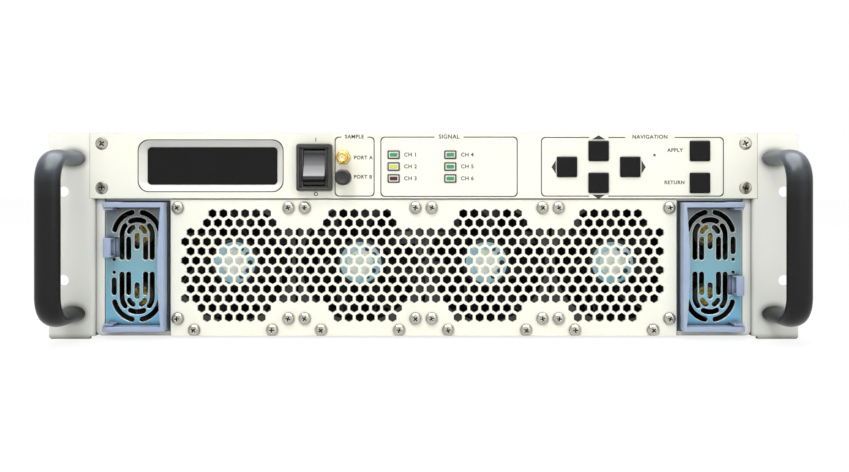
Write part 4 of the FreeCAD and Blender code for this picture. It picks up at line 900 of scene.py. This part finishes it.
@dataclass
class Rotor(Fitting):
    """A fan's hub cup with pitched, swept blades, turning on the Y axis."""

    node: str
    body: str
    hub: float
    bore: float
    depth: float
    blades: int
    label: float
    slices: int = 6
    twist: float = 3.6
    pitch: float = 48.0
    large_label: float = 20.0
    paper: float = 0.2
    # Shares of the fan's depth.
    chord: float = 0.8
    blade_middle: float = 0.47
    face: float = 0.08
    cup: float = 0.78
    # Shares of the hub's width.
    thickness: float = 0.045
    edge: float = 0.012
    lip: float = 0.03
    rounding: float = 0.06
    # Shares of the label's width.
    label_face: float = 0.62
    dot_ring: float = 0.37
    dot: float = 0.06

    def blade(self) -> Piece:
        """Models one blade along +X: twisted, swept and thin.

        Returns:
            The blade.
        """
        root, tip = self.hub / 2 - 0.6, self.bore / 2 * 0.96
        reach, chord = tip - root, self.depth * self.chord
        piece = block("blade", (root + reach / 2, 0, 0), (reach, chord, self.hub * self.thickness))
        for step in range(1, self.slices):
            choose(piece)
            bpy.ops.mesh.bisect(plane_co=(root + reach * step / self.slices, 0, 0), plane_no=(1, 0, 0))
        twist = math.radians(self.twist)
        for step in range(1, self.slices + 1):
            beyond = root + reach * (step - 0.5) / self.slices
            choose(piece, lambda centre, normal: centre.x > beyond, Part.POINTS)
            bpy.ops.transform.rotate(value=twist, orient_axis="X", center_override=(0, 0, 0))
            bpy.ops.transform.translate(value=(0, 0, reach * 0.012 * step))
        soften(piece, self.hub * self.edge, 1)
        move(piece, Matrix.Translation((0, self.depth * self.blade_middle, 0))
             @ Matrix.Rotation(math.radians(self.pitch), 4, "X"))
        return piece

    def build(self) -> None:
        """Models the whole rotor at its node's place."""
        low, centre = span(self.node)[0], middle(self.node)
        face, length, sunk = self.depth * self.face, self.depth * self.cup, self.hub * self.edge
        place = Vector((centre.x, low.y - face, centre.z))
        cup = rod("cup", 48, self.hub / 2, length)
        rim(cup, lambda centre, line: centre.z > length / 2 - 0.1, self.hub * self.rounding)
        choose(cup, Way.UP.faces)
        bpy.ops.mesh.inset(thickness=self.hub * self.lip, depth=-sunk)
        move(cup, Way.FRONT.at(0, face + length / 2, 0))
        turns = [Matrix.Rotation(2 * math.pi * number / self.blades, 4, "Y") for number in range(self.blades)]
        rotor = join([cup, repeat(self.blade(), turns)], f"{self.node}_blades")
        move(rotor, Matrix.Translation(place))
        self.hand_over(rotor, self.body, "fan_black", replaced=(self.node,))
        self.stick_labels(place + Vector((0, face + sunk - 0.06, 0)))

    def stick_labels(self, place: Vector) -> None:
        """Sticks the paper labels on the hub: one disc on a small hub, a ring, a face and dots on a large.

        Args:
            place: the middle of the hub's face.
        """
        large, edge = self.label > self.large_label, self.paper / 2 - NEAR
        discs = [("label", self.label, 0.0, LABEL_RING if large else SMALL_LABEL)]
        if large:
            discs.append(("label_face", self.label * self.label_face, 0.06, LABEL_FACE))
        for part, width, proud, finish in discs:
            disc = rod(f"{self.node}_{part}", 48, width / 2, self.paper)
            rim(disc, lambda centre, line: centre.z > edge, 0.06, 1)
            move(disc, Way.FRONT.at(place.x, place.y - proud, place.z))
            self.hand_over(disc, self.body, "fan_black", finish)
        if large:
            dot = rod(f"{self.node}_label_dots", 20, self.label * self.dot, self.paper)
            rim(dot, lambda centre, line: centre.z > edge, 0.05, 1)
            turns = [Matrix.Rotation(math.radians(angle), 4, "Y") for angle in range(-64, 65, 32)]
            hub = Matrix.Translation(place + Vector((0, -0.08, 0)))
            out = Way.FRONT.at(self.label * self.dot_ring, 0, 0)
            dots = repeat(dot, [hub @ turn @ out for turn in turns])
            self.hand_over(dots, self.body, "fan_black", LABEL_DOTS)


@dataclass
class ModuleHandle(Fitting):
    """The periwinkle pull of a power module: two arms and a bar that bows inwards."""

    side: Side
    half_width: float = 20.4
    outer: float = 41.1
    arm: float = 3.0
    bar: float = 2.0
    side_gap: float = 0.4
    front: float = -10.0
    back: float = -1.0
    hinge: float = -15.7
    bow: float = 2.0
    rows: int = 12
    knuckle_end: float = -8.4
    knuckle_rise: float = 0.35
    knuckle_slope: float = 0.4

    def build(self) -> None:
        """Models the pull in the module's own frame and places it."""
        right, inside = self.half_width - self.side_gap, self.outer - self.arm
        left = right - self.bar
        middle_y, deep = (self.front + self.back) / 2, self.back - self.front
        tip = self.hinge - deep / 2
        piece = block(f"module_pull_{self.side.value}", ((left + right) / 2, middle_y, 0),
                      (self.bar, deep, 2 * self.outer))
        heights = [inside * (2 * row / self.rows - 1) for row in range(self.rows + 1)]
        for height in heights:
            choose(piece)
            bpy.ops.mesh.bisect(plane_co=(0, 0, height), plane_no=(0, 0, 1))
        choose(piece, lambda centre, normal: Way.LEFT.faces(centre, normal) and abs(centre.z) > inside)
        pull(self.knuckle_end - left, 0, 0)
        pull(-self.knuckle_slope, 0, 0)
        pull(tip - self.knuckle_end + self.knuckle_slope, 0, 0)
        beyond = self.knuckle_end - self.knuckle_slope / 2
        for flip in (-1, 1):
            shift(piece, lambda centre, normal: centre.x < beyond and flip * centre.z > inside + 1,
                  (0, 0, flip * self.knuckle_rise))
        rim(piece, lambda centre, line: centre.x < tip + NEAR and Way.UP.edges(centre, line),
            deep / 2 - 0.1, 6)
        for height in heights[1:-1]:
            bend = -self.bow * math.cos(math.pi / 2 * height / inside)
            shift(piece, lambda centre, normal: abs(centre.z - height) < NEAR and centre.x < left + NEAR,
                  (bend, 0, 0))
        soften(piece, 0.7, 3)
        move(piece, self.side.bay())
        self.hand_over(piece, f"psu_{self.side.value}_bail", "module_blue",
                       replaced=(f"psu_{self.side.value}_handle",))


@dataclass
class ThumbTab(Fitting):
    """The tab that unlocks a power module: a shell open towards the module's middle, on a flange."""

    side: Side
    left: float = -19.2
    width: float = 5.0
    height: float = 12.2
    rise: float = 12.2
    front: float = -8.5
    seat: float = 1.3
    wall: float = 1.0
    hollow: float = 3.3
    flange: float = 1.6
    flange_left: float = -19.4
    flange_right: float = -12.0
    flange_thickness: float = 1.5

    def build(self) -> None:
        """Models the tab in the module's own frame and places it."""
        tab = block("tab", (self.left + self.width / 2, (self.front + self.seat) / 2, self.rise),
                    (self.width, self.seat - self.front, self.height))
        rim(tab, lambda centre, line: centre.y < self.front + NEAR and Way.UP.edges(centre, line), 1.0, 4)
        choose(tab, Way.RIGHT.faces)
        bpy.ops.mesh.inset(thickness=self.wall)
        pull(-self.hollow, 0, 0)
        soften(tab, 0.3)
        flange = block("flange", ((self.flange_left + self.flange_right) / 2,
                                  self.seat + self.flange_thickness / 2, self.rise),
                       (self.flange_right - self.flange_left, self.flange_thickness,
                        self.height + 2 * self.flange))
        soften(flange, 0.3)
        piece = join([tab, flange], f"thumb_tab_{self.side.value}")
        move(piece, self.side.bay())
        self.hand_over(piece, f"psu_{self.side.value}_thumb_latch", "module_blue",
                       replaced=(f"psu_{self.side.value}_latch",))


@dataclass
class MonitorJack(Fitting):
    """A gold plated coaxial jack: chamfered nut, threaded barrel, insulator and slotted contact."""

    node: str
    flats: float = 8.0
    nut: float = 2.2
    thread: float = 6.35
    pitch: float = 0.6
    reach: float = 8.0
    rear: float = 11.0
    bore: float = 4.6
    bore_depth: float = 4.0
    insulator_depth: float = 1.0

    def build(self) -> None:
        """Models a jack at its node's place."""
        centre, end = middle(self.node), self.reach
        place = Way.FRONT.at(centre.x, FRONT, centre.z)
        outer, inner, back = self.thread / 2, self.bore / 2, self.flats / 2
        rings = [(back - 0.3, -self.rear), (back, -self.rear + 0.3), (back, FRONT), (outer - 0.1, FRONT),
                 (outer - 0.1, self.nut + 0.2)]
        rings += thread(outer, self.nut + 0.2, end - 0.5, self.pitch)
        rings += [(outer - 0.2, end - 0.4), (outer - 0.35, end), (inner + 0.2, end), (inner, end - 0.2),
                  (inner, end - self.bore_depth)]
        barrel = turned("barrel", rings)
        nut = begin("cylinder", "nut", vertices=6, radius=self.flats / math.sqrt(3), depth=self.nut,
                    location=(0, 0, self.nut / 2), rotation=(0, 0, math.pi / 6))
        rim(nut, lambda centre, line: centre.z > self.nut - NEAR, 0.45)
        contact = turned("contact", [(0.35, end - 2.4), (0.35, end - 0.8), (0.58, end - 0.8),
                                     (0.63, end - 1.0), (0.63, end - self.bore_depth)], 20)
        jack = join([barrel, nut, contact], f"{self.node}_gold")
        move(jack, place)
        self.hand_over(jack, "chassis", "gold_plate", replaced=(self.node,))
        height = self.bore_depth - self.insulator_depth
        filling = rod(f"{self.node}_insulator", 32, inner - 0.02, height, end - self.bore_depth + height / 2)
        rim(filling, lambda centre, line: abs(line.z) < 0.1, 0.15, 2)
        move(filling, place)
        self.hand_over(filling, "chassis", "gold_plate", INSULATOR)


@dataclass
class DustCap(Fitting):
    """A soft black cap pushed on the lower jack."""

    node: str = "input_dust_cap"
    width: float = 10.2
    bore: float = 6.45
    start: float = 2.3
    end: float = 11.3
    wall: float = 1.6

    def build(self) -> None:
        """Turns the cap, its crown in four steps."""
        outer, inner, start, end = self.width / 2, self.bore / 2, self.start, self.end
        cap = turned("jack_dust_cap", [
            (inner, end - self.wall), (inner, start + 0.3), (inner + 0.25, start), (outer - 0.3, start),
            (outer, start + 0.3), (outer, end - 1.2), (outer - 0.18, end - 0.65), (outer - 0.6, end - 0.2),
            (outer - 1.15, end), (outer - 1.6, end), (outer - 1.8, end - 0.12)], 56)
        move(cap, Way.FRONT.at(middle(self.node).x, FRONT, middle(self.node).z))
        self.hand_over(cap, "dust_cap", "cap_black", replaced=(self.node,))


@dataclass
class LampFrames(Fitting):
    """Six white lamp frames with sloping mouths, each in a thin dark gasket."""

    columns: tuple[float, float] = (-19.3, 17.2)
    rows: int = 3
    top: float = 52.34
    pitch: float = 7.65
    width: float = 7.7
    height: float = 5.3
    gasket: float = 0.75
    gasket_lap: float = 0.2
    gasket_rise: float = 0.4
    lip: float = 0.6
    lens_width: float = 4.9
    lens_height: float = 2.4
    sleeve: float = 4.0
    through: float = 12.0

    def build(self) -> None:
        """Models a frame and its gasket and copies both to the six places."""
        places = [Matrix.Translation((x, FRONT, self.top - row * self.pitch)) for x in self.columns
                  for row in range(self.rows)]
        wide, tall = self.width - 2 * self.gasket, self.height - 2 * self.gasket
        lamp = block("lamp_frames", (0, -self.lip / 2, 0), (wide, self.lip, tall))
        choose(lamp, Way.REAR.faces)
        bpy.ops.mesh.inset(thickness=0.25)
        pull(0, self.sleeve, 0)
        choose(lamp, Way.FRONT.faces)
        bpy.ops.mesh.inset(thickness=0.2)
        bpy.ops.mesh.inset(thickness=0.2, depth=-0.15)
        carve(lamp, block("mouth", (0, 0, 0), (self.lens_width, self.through, self.lens_height)))
        soften(lamp, 0.12)
        self.hand_over(repeat(lamp, places), "chassis", "lamp_frame", replaced=("led_bezels",))
        rise, lap = self.gasket_rise, 2 * self.gasket_lap
        seal = block("lamp_gaskets", (0, -rise / 2, 0), (self.width, rise, self.height))
        rim(seal, Way.REAR.edges, 0.4)
        carve(seal, block("mouth", (0, 0, 0), (wide - lap, self.through, tall - lap)))
        self.hand_over(repeat(seal, places), "chassis", "lamp_frame", LAMP_SEAL)


@dataclass
class KeyCap(Fitting):
    """A square key with a faintly dished top, a flange behind the panel and a stem."""

    node: str
    size: float = 12.5
    front: float = -4.6
    corner: float = 0.45
    dish: tuple[Ring, ...] = ((1.2, -0.06), (1.6, -0.05), (1.8, -0.02))
    flange: float = 1.0
    flange_start: float = 0.1
    flange_thickness: float = 1.2
    stem: float = 6.0
    stem_length: float = 2.7

    def build(self) -> None:
        """Models a key at its node's place, on the body of the same name."""
        start = self.flange_start
        cap = block("cap", (0, (self.front + start) / 2, 0), (self.size, start - self.front, self.size))
        choose(cap, Way.FRONT.faces)
        for inward, sink in self.dish:
            bpy.ops.mesh.inset(thickness=inward, depth=sink)
        soften(cap, self.corner, 3)
        wide, end = self.size + 2 * self.flange, start + self.flange_thickness
        flange = block("flange", (0, (start + end) / 2, 0), (wide, self.flange_thickness, wide))
        soften(flange, 0.2, 1)
        stem = begin("cylinder", "stem", vertices=32, radius=self.stem / 2, depth=self.stem_length,
                     location=(0, end + self.stem_length / 2, 0), rotation=(math.pi / 2, 0, 0))
        soften(stem, 0.25, 1)
        key = join([cap, flange, stem], f"{self.node}_cap")
        move(key, Matrix.Translation((middle(self.node).x, 0, middle(self.node).z)))
        self.hand_over(key, self.node, "key_black", replaced=(self.node,))


@dataclass
class SwitchGuard(Fitting):
    """The power switch's guard: a raised rim, a sunk ledge and the rocker's well."""

    x: float = -70.1
    z: float = 44.04
    width: float = 22.5
    height: float = 30.0
    front: float = -8.0
    corner: float = 1.4
    rim_width: float = 1.7
    slope: float = 0.5
    step: float = 1.8
    well_width: float = 14.2
    well_height: float = 24.4
    well_depth: float = 14.0
    body_depth: float = 22.0
    lip: float = 1.1
    pin_radius: float = 1.55
    pin_length: float = 16.2

    def build(self) -> None:
        """Models the guard with the body behind the panel."""
        guard = block("switch_guard", (0, (self.front + FRONT) / 2, 0),
                      (self.width, FRONT - self.front, self.height))
        choose(guard, Way.FRONT.faces)
        bpy.ops.mesh.inset(thickness=self.rim_width)
        bpy.ops.mesh.inset(thickness=self.slope, depth=-self.step)
        choose(guard, Way.REAR.faces)
        bpy.ops.mesh.inset(thickness=self.lip)
        pull(0, self.body_depth - FRONT, 0)
        edge = self.width / 2 - NEAR
        rim(guard, lambda centre, line: Way.REAR.edges(centre, line) and abs(centre.x) > edge, self.corner, 4)
        soften(guard, 0.35, 3)
        carve(guard, block("well", (0, self.front + (self.well_depth - 1) / 2, 0),
                           (self.well_width, self.well_depth + 1, self.well_height)))
        carve(guard, begin("cylinder", "pin", vertices=24, radius=self.pin_radius, depth=self.pin_length,
                           rotation=(0, math.pi / 2, 0)))
        move(guard, Matrix.Translation((self.x, 0, self.z)))
        self.hand_over(guard, "chassis", "switch_black", replaced=("switch_housing",))


@dataclass
class RearJacks(Fitting):
    """The two square-flanged coaxial connectors at the back, each with four screws."""

    x: float = 90.0
    z: float = 40.0
    rear_face: float = 555.8
    flange: float = 25.4
    thickness: float = 3.0
    thread: float = 15.88
    pitch: float = 1.06
    reach: float = 14.0
    tail: tuple[float, float] = (4.75, 13.5)
    shoulder: float = 9.5
    bore: float = 4.2
    bore_floor: float = 5.0
    insulator: float = 1.6
    screw_offset: float = 9.1

    def build(self) -> None:
        """Models a connector, its insulator and its screws, and copies them."""
        places = [Way.REAR.at(x, self.rear_face, self.z) for x in (-self.x, self.x)]
        plate = block("plate", (0, 0, self.thickness / 2), (self.flange, self.flange, self.thickness))
        rim(plate, Way.UP.edges, 2.0, 4)
        soften(plate, 0.3)
        outer, floor, (tail, end) = self.thread / 2, self.bore_floor, self.tail
        rings = [(tail, -end), (tail, -self.shoulder), (outer, -self.shoulder), (outer, self.thickness + 0.4)]
        rings += thread(outer, self.thickness + 0.4, self.reach - 1.2, self.pitch)
        rings += [(outer - 0.5, self.reach - 1.0), (outer - 0.8, self.reach), (self.bore + 0.3, self.reach),
                  (self.bore, self.reach - 0.3), (self.bore, floor)]
        contact = turned("contact", [(0.9, 8.0), (0.9, 11.0), (1.35, 11.0), (1.5, 10.7), (1.5, floor)], 24)
        self.hand_over(repeat(join([plate, turned("barrel", rings, 48), contact], "rear_jacks"), places),
                       "chassis", "plated_connector", replaced=("rf_connectors",))
        deep = self.insulator
        filling = rod("rear_jack_insulators", 40, self.bore - 0.05, deep, floor + deep / 2)
        rim(filling, lambda centre, line: abs(line.z) < 0.1, 0.3, 2)
        self.hand_over(repeat(filling, places), "chassis", "plated_connector", INSULATOR)
        ends = (-self.screw_offset, self.screw_offset)
        corners = [place @ Matrix.Translation((dx, dy, self.thickness))
                   @ Matrix.Rotation(dx * dy + dx, 4, "Z") for place in places for dx in ends for dy in ends]
        screw = CrossHeadScrew(width=5.4, height=1.9, recess=3.0, slot=0.8)
        self.drive(screw.domed("rear_jack_screws"), corners)


@dataclass
class ShellScrews(Fitting):
    """The screws through the sides and the lid of the chassis."""

    ear_first: float = 18.0
    ear_pitch: float = 22.0
    ear_rise: float = 39.0
    rear_rise: float = 38.0
    rear_y: float = 548.3
    lid_inset: float = 7.5
    lid_first: float = 37.0
    lid_pitch: float = 111.0
    lid_rows: int = 5
    lid_rear_pitch: float = 102.0

    def build(self) -> None:
        """Models both kinds of screw and copies them to their places."""
        (half, _, top), leg = span("top_cover")[1], span("control_panel")[1].x
        spots = [(leg, self.ear_first + row * self.ear_pitch, z) for row in (0, 1)
                 for z in (-self.ear_rise, self.ear_rise)]
        spots += [(half, self.rear_y, z) for z in (-self.rear_rise, 0, self.rear_rise)]
        places = [way.at(sign * x, y, z) @ Matrix.Rotation(number, 4, "Z")
                  for sign, way in ((-1, Way.LEFT), (1, Way.RIGHT)) for number, (x, y, z) in enumerate(spots)]
        self.drive(CrossHeadScrew().domed("side_screw_heads"), places, "chassis_screws")
        inset, behind = half - self.lid_inset, self.lid_rear_pitch
        spots = [(x, self.lid_first + row * self.lid_pitch) for x in (-inset, inset)
                 for row in range(self.lid_rows)]
        spots += [(x, self.rear_y) for x in (-behind, 0, behind)]
        places = [Matrix.Translation((x, y, top)) @ Matrix.Rotation(number, 4, "Z")
                  for number, (x, y) in enumerate(spots)]
        self.drive(CrossHeadScrew(width=6.9, height=1.4).sunk("lid_screw_heads"), places, "cover_screws")


class Align(Enum):
    """Where a word starts from its place."""

    LEFT = "LEFT"
    CENTER = "CENTER"


@dataclass(frozen=True)
class Outline:
    """A rounded frame round x and z ranges, with the x range and the height of each gap in it."""

    x: tuple[float, float]
    z: tuple[float, float]
    gaps: tuple[Point, ...] = ()
    corner: float = 2.6


@dataclass
class Legends(Fitting):
    """Lines, words and arrows printed on the control panel, a hair proud of the paint."""

    line: float = 0.6
    proud: float = 0.04
    weight: float = 0.07
    spacing: float = 1.12
    gap_height: float = 1.2
    seal_tab: float = 3.5
    seal_corner: float = 7.0
    outlines: tuple[Outline, ...] = (
        Outline((-57.3, -31.6), (25.4, 64.0), ((-53.0, -36.2, 64.0),)),
        Outline((-27.8, 60.6), (25.2, 64.0), ((7.0, 25.8, 64.0),)),
        Outline((75.6, 193.4), (25.4, 63.8),
                ((106.6, 119.0, 63.8), (106.6, 119.0, 25.4), (129.8, 161.8, 63.8))))
    centred: tuple[Word, ...] = (
        ("I", -69.4, 61.9, 3.45), ("O", -69.4, 26.9, 3.45), ("SAMPLE", -44.6, 63.9, 3.3),
        ("SIGNAL", 16.4, 63.9, 3.6), ("NAVIGATION", 145.8, 63.8, 3.4), ("APPLY", 162.0, 55.2, 3.3),
        ("RETURN", 161.6, 34.4, 3.2))
    left: tuple[Word, ...] = (
        ("PORT A", -45.0, 50.4, 3.2), ("PORT B", -45.0, 38.0, 3.2), ("CH 1", -12.6, 52.3, 3.45),
        ("CH 2", -12.6, 44.7, 3.45), ("CH 3", -12.6, 37.0, 3.45), ("CH 4", 24.0, 52.3, 3.45),
        ("CH 5", 24.0, 44.7, 3.45), ("CH 6", 24.0, 37.0, 3.45))
    arrows: tuple[Point, ...] = (
        (112.75, 63.1, 0), (112.75, 25.7, 180), (84.2, 44.4, -90), (141.3, 44.4, 90))
    arrow_size: tuple[float, float] = (4.9, 1.8)
    prints: list[Piece] = field(default_factory=list)

    def word(self, text: str, x: float, z: float, size: float, align: Align) -> None:
        """Prints a word.

        Args:
            text: what it says.
            x: its left edge or its middle.
            z: its middle height.
            size: letter size.
            align: whether x is its left edge or its middle.
        """
        clear_bench()
        bpy.ops.object.text_add()
        letters = bpy.context.object.data
        letters.body, letters.align_x, letters.align_y = text, align.value, "CENTER"
        letters.size, letters.extrude = size, self.proud
        letters.space_character, letters.offset = self.spacing, self.weight
        bpy.ops.object.convert(target="MESH")
        self.prints.append(bpy.context.object)
        move(self.prints[-1], Way.FRONT.at(x, FRONT, z))

    def box(self, outline: Outline) -> None:
        """Prints a rounded frame with its gaps.

        Args:
            outline: where it runs.
        """
        (x0, x1), (z0, z1) = outline.x, outline.z
        width, height = x1 - x0, z1 - z0
        centre = Vector(((x0 + x1) / 2, FRONT, (z0 + z1) / 2))
        piece = block("outline", centre, (width, 2 * self.proud, height))
        rim(piece, Way.REAR.edges, outline.corner, 6)
        inner = twin(piece)
        move(inner, Matrix.Translation(centre)
             @ Matrix.Diagonal((1 - 2 * self.line / width, 4, 1 - 2 * self.line / height, 1))
             @ Matrix.Translation(-centre))
        carve(piece, inner)
        for start, end, z in outline.gaps:
            carve(piece, block("gap", ((start + end) / 2, FRONT, z), (end - start, 1, self.gap_height)))
        self.prints.append(piece)

    def seal(self, node: str) -> None:
        """Lays the thin dark seal round a piece that is let into the panel.

        Args:
            node: the CAD node of the piece.
        """
        (x0, _, z0), (x1, _, z1) = span(node)
        x, z = (x0 + x1) / 2, (z0 + z1) / 2
        wide, tall = (x1 - x0) / 2 - self.seal_tab + self.line / 2, (z1 - z0) / 2 + self.line / 2
        self.box(Outline((x - wide, x + wide), (z - tall, z + tall), corner=self.seal_corner))

    def arrow(self, x: float, z: float, turn: float) -> None:
        """Prints a black triangle.

        Args:
            x: its middle.
            z: its middle height.
            turn: 0 for up, in degrees.
        """
        piece = rod("arrow", 3, 1.0, 2 * self.proud)
        move(piece, Matrix.Translation((x, FRONT, z)) @ Matrix.Rotation(math.radians(turn), 4, "Y")
             @ Way.FRONT.at(0, 0, 0) @ Matrix.Diagonal((*self.arrow_size, 1.0, 1.0)))
        self.prints.append(piece)

    def build(self) -> None:
        """Prints everything as one piece."""
        for outline in self.outlines:
            self.box(outline)
        for align, words in ((Align.CENTER, self.centred), (Align.LEFT, self.left)):
            for text, x, z, size in words:
                self.word(text, x, z, size, align)
        for x, z, turn in self.arrows:
            self.arrow(x, z, turn)
        self.seal("display_bezel")
        self.hand_over(join(self.prints, "panel_print"), "chassis", "panel_paint", LEGEND, smooth=5)


# Stage, lights and camera

@dataclass
class Studio:
    """A white floor, plain soft light and the camera at the photograph's viewing angle."""

    floor_z: float = -66.3
    floor_size: float = 12.0
    floor_y: float = 2.0
    glow: float = 1.04
    glow_share: float = 0.8
    camera_side: float = 0.58
    camera_distance: float = 546.0
    camera_height: float = 30.0
    frame_width: float = 546.9
    horizon: float = 0.5
    zenith: float = 0.86
    sensor: float = 36.0

    def floor(self) -> None:
        """Lays a floor that the camera sees as white, apart from the object's shadow."""
        bpy.ops.mesh.primitive_plane_add(size=self.floor_size, location=(0, self.floor_y, self.floor_z * MM))
        plane = bpy.context.object
        plane.name = "floor"
        material = bpy.data.materials.new("white_floor")
        material.use_nodes = True
        tree = material.node_tree
        tree.nodes.clear()
        share = add(tree, "MapRange", {"Value": self.seen(tree), "To Min": 0.0, "To Max": self.glow_share})
        paper = add(tree, "BsdfDiffuse", {"Color": tint(PAPER_WHITE)})
        glow = add(tree, "Emission", {"Color": tint(PAPER_WHITE), "Strength": self.glow})
        both = add(tree, "MixShader", {0: share.outputs[0], 1: paper.outputs[0], 2: glow.outputs[0]})
        add(tree, "OutputMaterial", {"Surface": both.outputs[0]})
        plane.data.materials.append(material)

    def seen(self, tree: Tree) -> Socket:
        """Tells what is looked at, straight, in a mirror or through glass, from what only gives light.

        Args:
            tree: the nodes of the floor or the world.

        Returns:
            An output that is 1 where the eye can tell.
        """
        path = add(tree, "LightPath")
        eye = path.outputs["Is Camera Ray"]
        for kind in ("Is Glossy Ray", "Is Transmission Ray"):
            eye = add(tree, "Math", {0: eye, 1: path.outputs[kind]}, operation="MAXIMUM").outputs[0]
        return eye

    def world(self) -> None:
        """Makes the world white to the eye, and as a light soft and brighter overhead."""
        world = bpy.data.worlds.new("white_room")
        bpy.context.scene.world = world
        world.use_nodes = True
        tree = world.node_tree
        tree.nodes.clear()
        height = add(tree, "SeparateXYZ", {0: add(tree, "TexCoord").outputs["Generated"]}).outputs["Z"]
        light = add(tree, "MapRange", {"Value": height, "From Min": -0.2, "From Max": 1.0,
                                       "To Min": self.horizon, "To Max": self.zenith}).outputs[0]
        strength = add(tree, "Mix", {0: self.seen(tree), 2: light, 3: 1.0}, data_type="FLOAT").outputs[0]
        sky = add(tree, "Background", {"Color": tint(PAPER_WHITE), "Strength": strength})
        add(tree, "OutputWorld", {"Surface": sky.outputs[0]})

    def lamp(self, name: str, place: Point, aim: Point, size: float, power: float,
             sheen: bool = False) -> None:
        """Adds a soft square lamp.

        Args:
            name: the lamp's name.
            place: where it hangs, in metres.
            aim: what it faces, in metres.
            size: its side, in metres.
            power: its power in watts.
            sheen: whether it shows in reflections alone.
        """
        bpy.ops.object.light_add(type="AREA", location=place)
        lamp = bpy.context.object
        lamp.name = name
        lamp.data.size, lamp.data.energy = size, power
        lamp.visible_camera, lamp.visible_diffuse = False, not sheen
        lamp.rotation_euler = (Vector(aim) - Vector(place)).to_track_quat("-Z", "Y").to_euler()

    def camera(self) -> None:
        """Sets the camera square on to the front, with its view shifted down to the rack's middle."""
        bpy.ops.object.camera_add(
            location=(self.camera_side * MM, (FRONT - self.camera_distance) * MM, self.camera_height * MM),
            rotation=(math.pi / 2, 0, 0))
        camera = bpy.context.object
        camera.data.sensor_width = self.sensor
        camera.data.lens = self.sensor * self.camera_distance / self.frame_width
        camera.data.shift_y = -self.camera_height / self.frame_width
        camera.data.clip_start = 0.01
        bpy.context.scene.camera = camera

    def build(self) -> None:
        """Sets up everything that isn't the object."""
        bpy.context.scene.view_settings.view_transform = "Standard"
        self.floor()
        self.world()
        self.camera()
        self.lamp("key_light", (-0.4, -1.3, 1.6), (0, 0, 0), 0.9, 15.0)
        self.lamp("fill_light", (1.0, -1.6, 0.7), (0, 0, 0), 1.4, 6.0)
        self.lamp("overhead_sheen", (0, -0.4, 1.9), (0, -0.4, 0), 2.6, 180.0, sheen=True)
        LOG.info("studio ready")


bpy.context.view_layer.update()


def main() -> None:
    """Builds the scene in order."""
    logging.basicConfig(level=logging.INFO, format="%(name)s: %(message)s")
    Studio().build()
    paintbox = Paintbox()
    paintbox.dress_nodes({row["node"]: row["material_slot"] for row in frame["record"]["subparts"]})
    for side in Side:
        case = f"psu_{side.value}_case"
        paintbox.dress_faces(case, FINISHES["zinc_sheet"], lambda centre, normal: centre.y > 2 * MM)
        paintbox.dress_faces(case, FINISHES["module_blue"], lambda centre, normal: centre.y < -0.2 * MM)
    for side in Side:
        BowHandle(paintbox, side).build()
        ModuleHandle(paintbox, side).build()
        ThumbTab(paintbox, side).build()
        module = f"psu_{side.value}"
        for level in ("upper", "lower"):
            Rotor(paintbox, f"{module}_rotor_{level}", f"{module}_{level}_rotor", hub=17.0, bore=36.0,
                  depth=28.0, blades=5, label=12.0).build()
    FrontScrews(paintbox).build()
    for number in range(1, 5):
        Rotor(paintbox, f"fan_rotor_{number}", f"rotor_{number}", hub=32.0, bore=76.0, depth=38.0,
              blades=7, label=27.0).build()
    SwitchGuard(paintbox).build()
    for node in ("monitor_output_jack", "monitor_input_jack"):
        MonitorJack(paintbox, node).build()
    DustCap(paintbox).build()
    LampFrames(paintbox).build()
    for name in ("up", "down", "left", "right", "enter", "cancel"):
        KeyCap(paintbox, f"key_{name}").build()
    Legends(paintbox).build()
    RearJacks(paintbox).build()
    ShellScrews(paintbox).build()


if __name__ == "__main__":
    main()
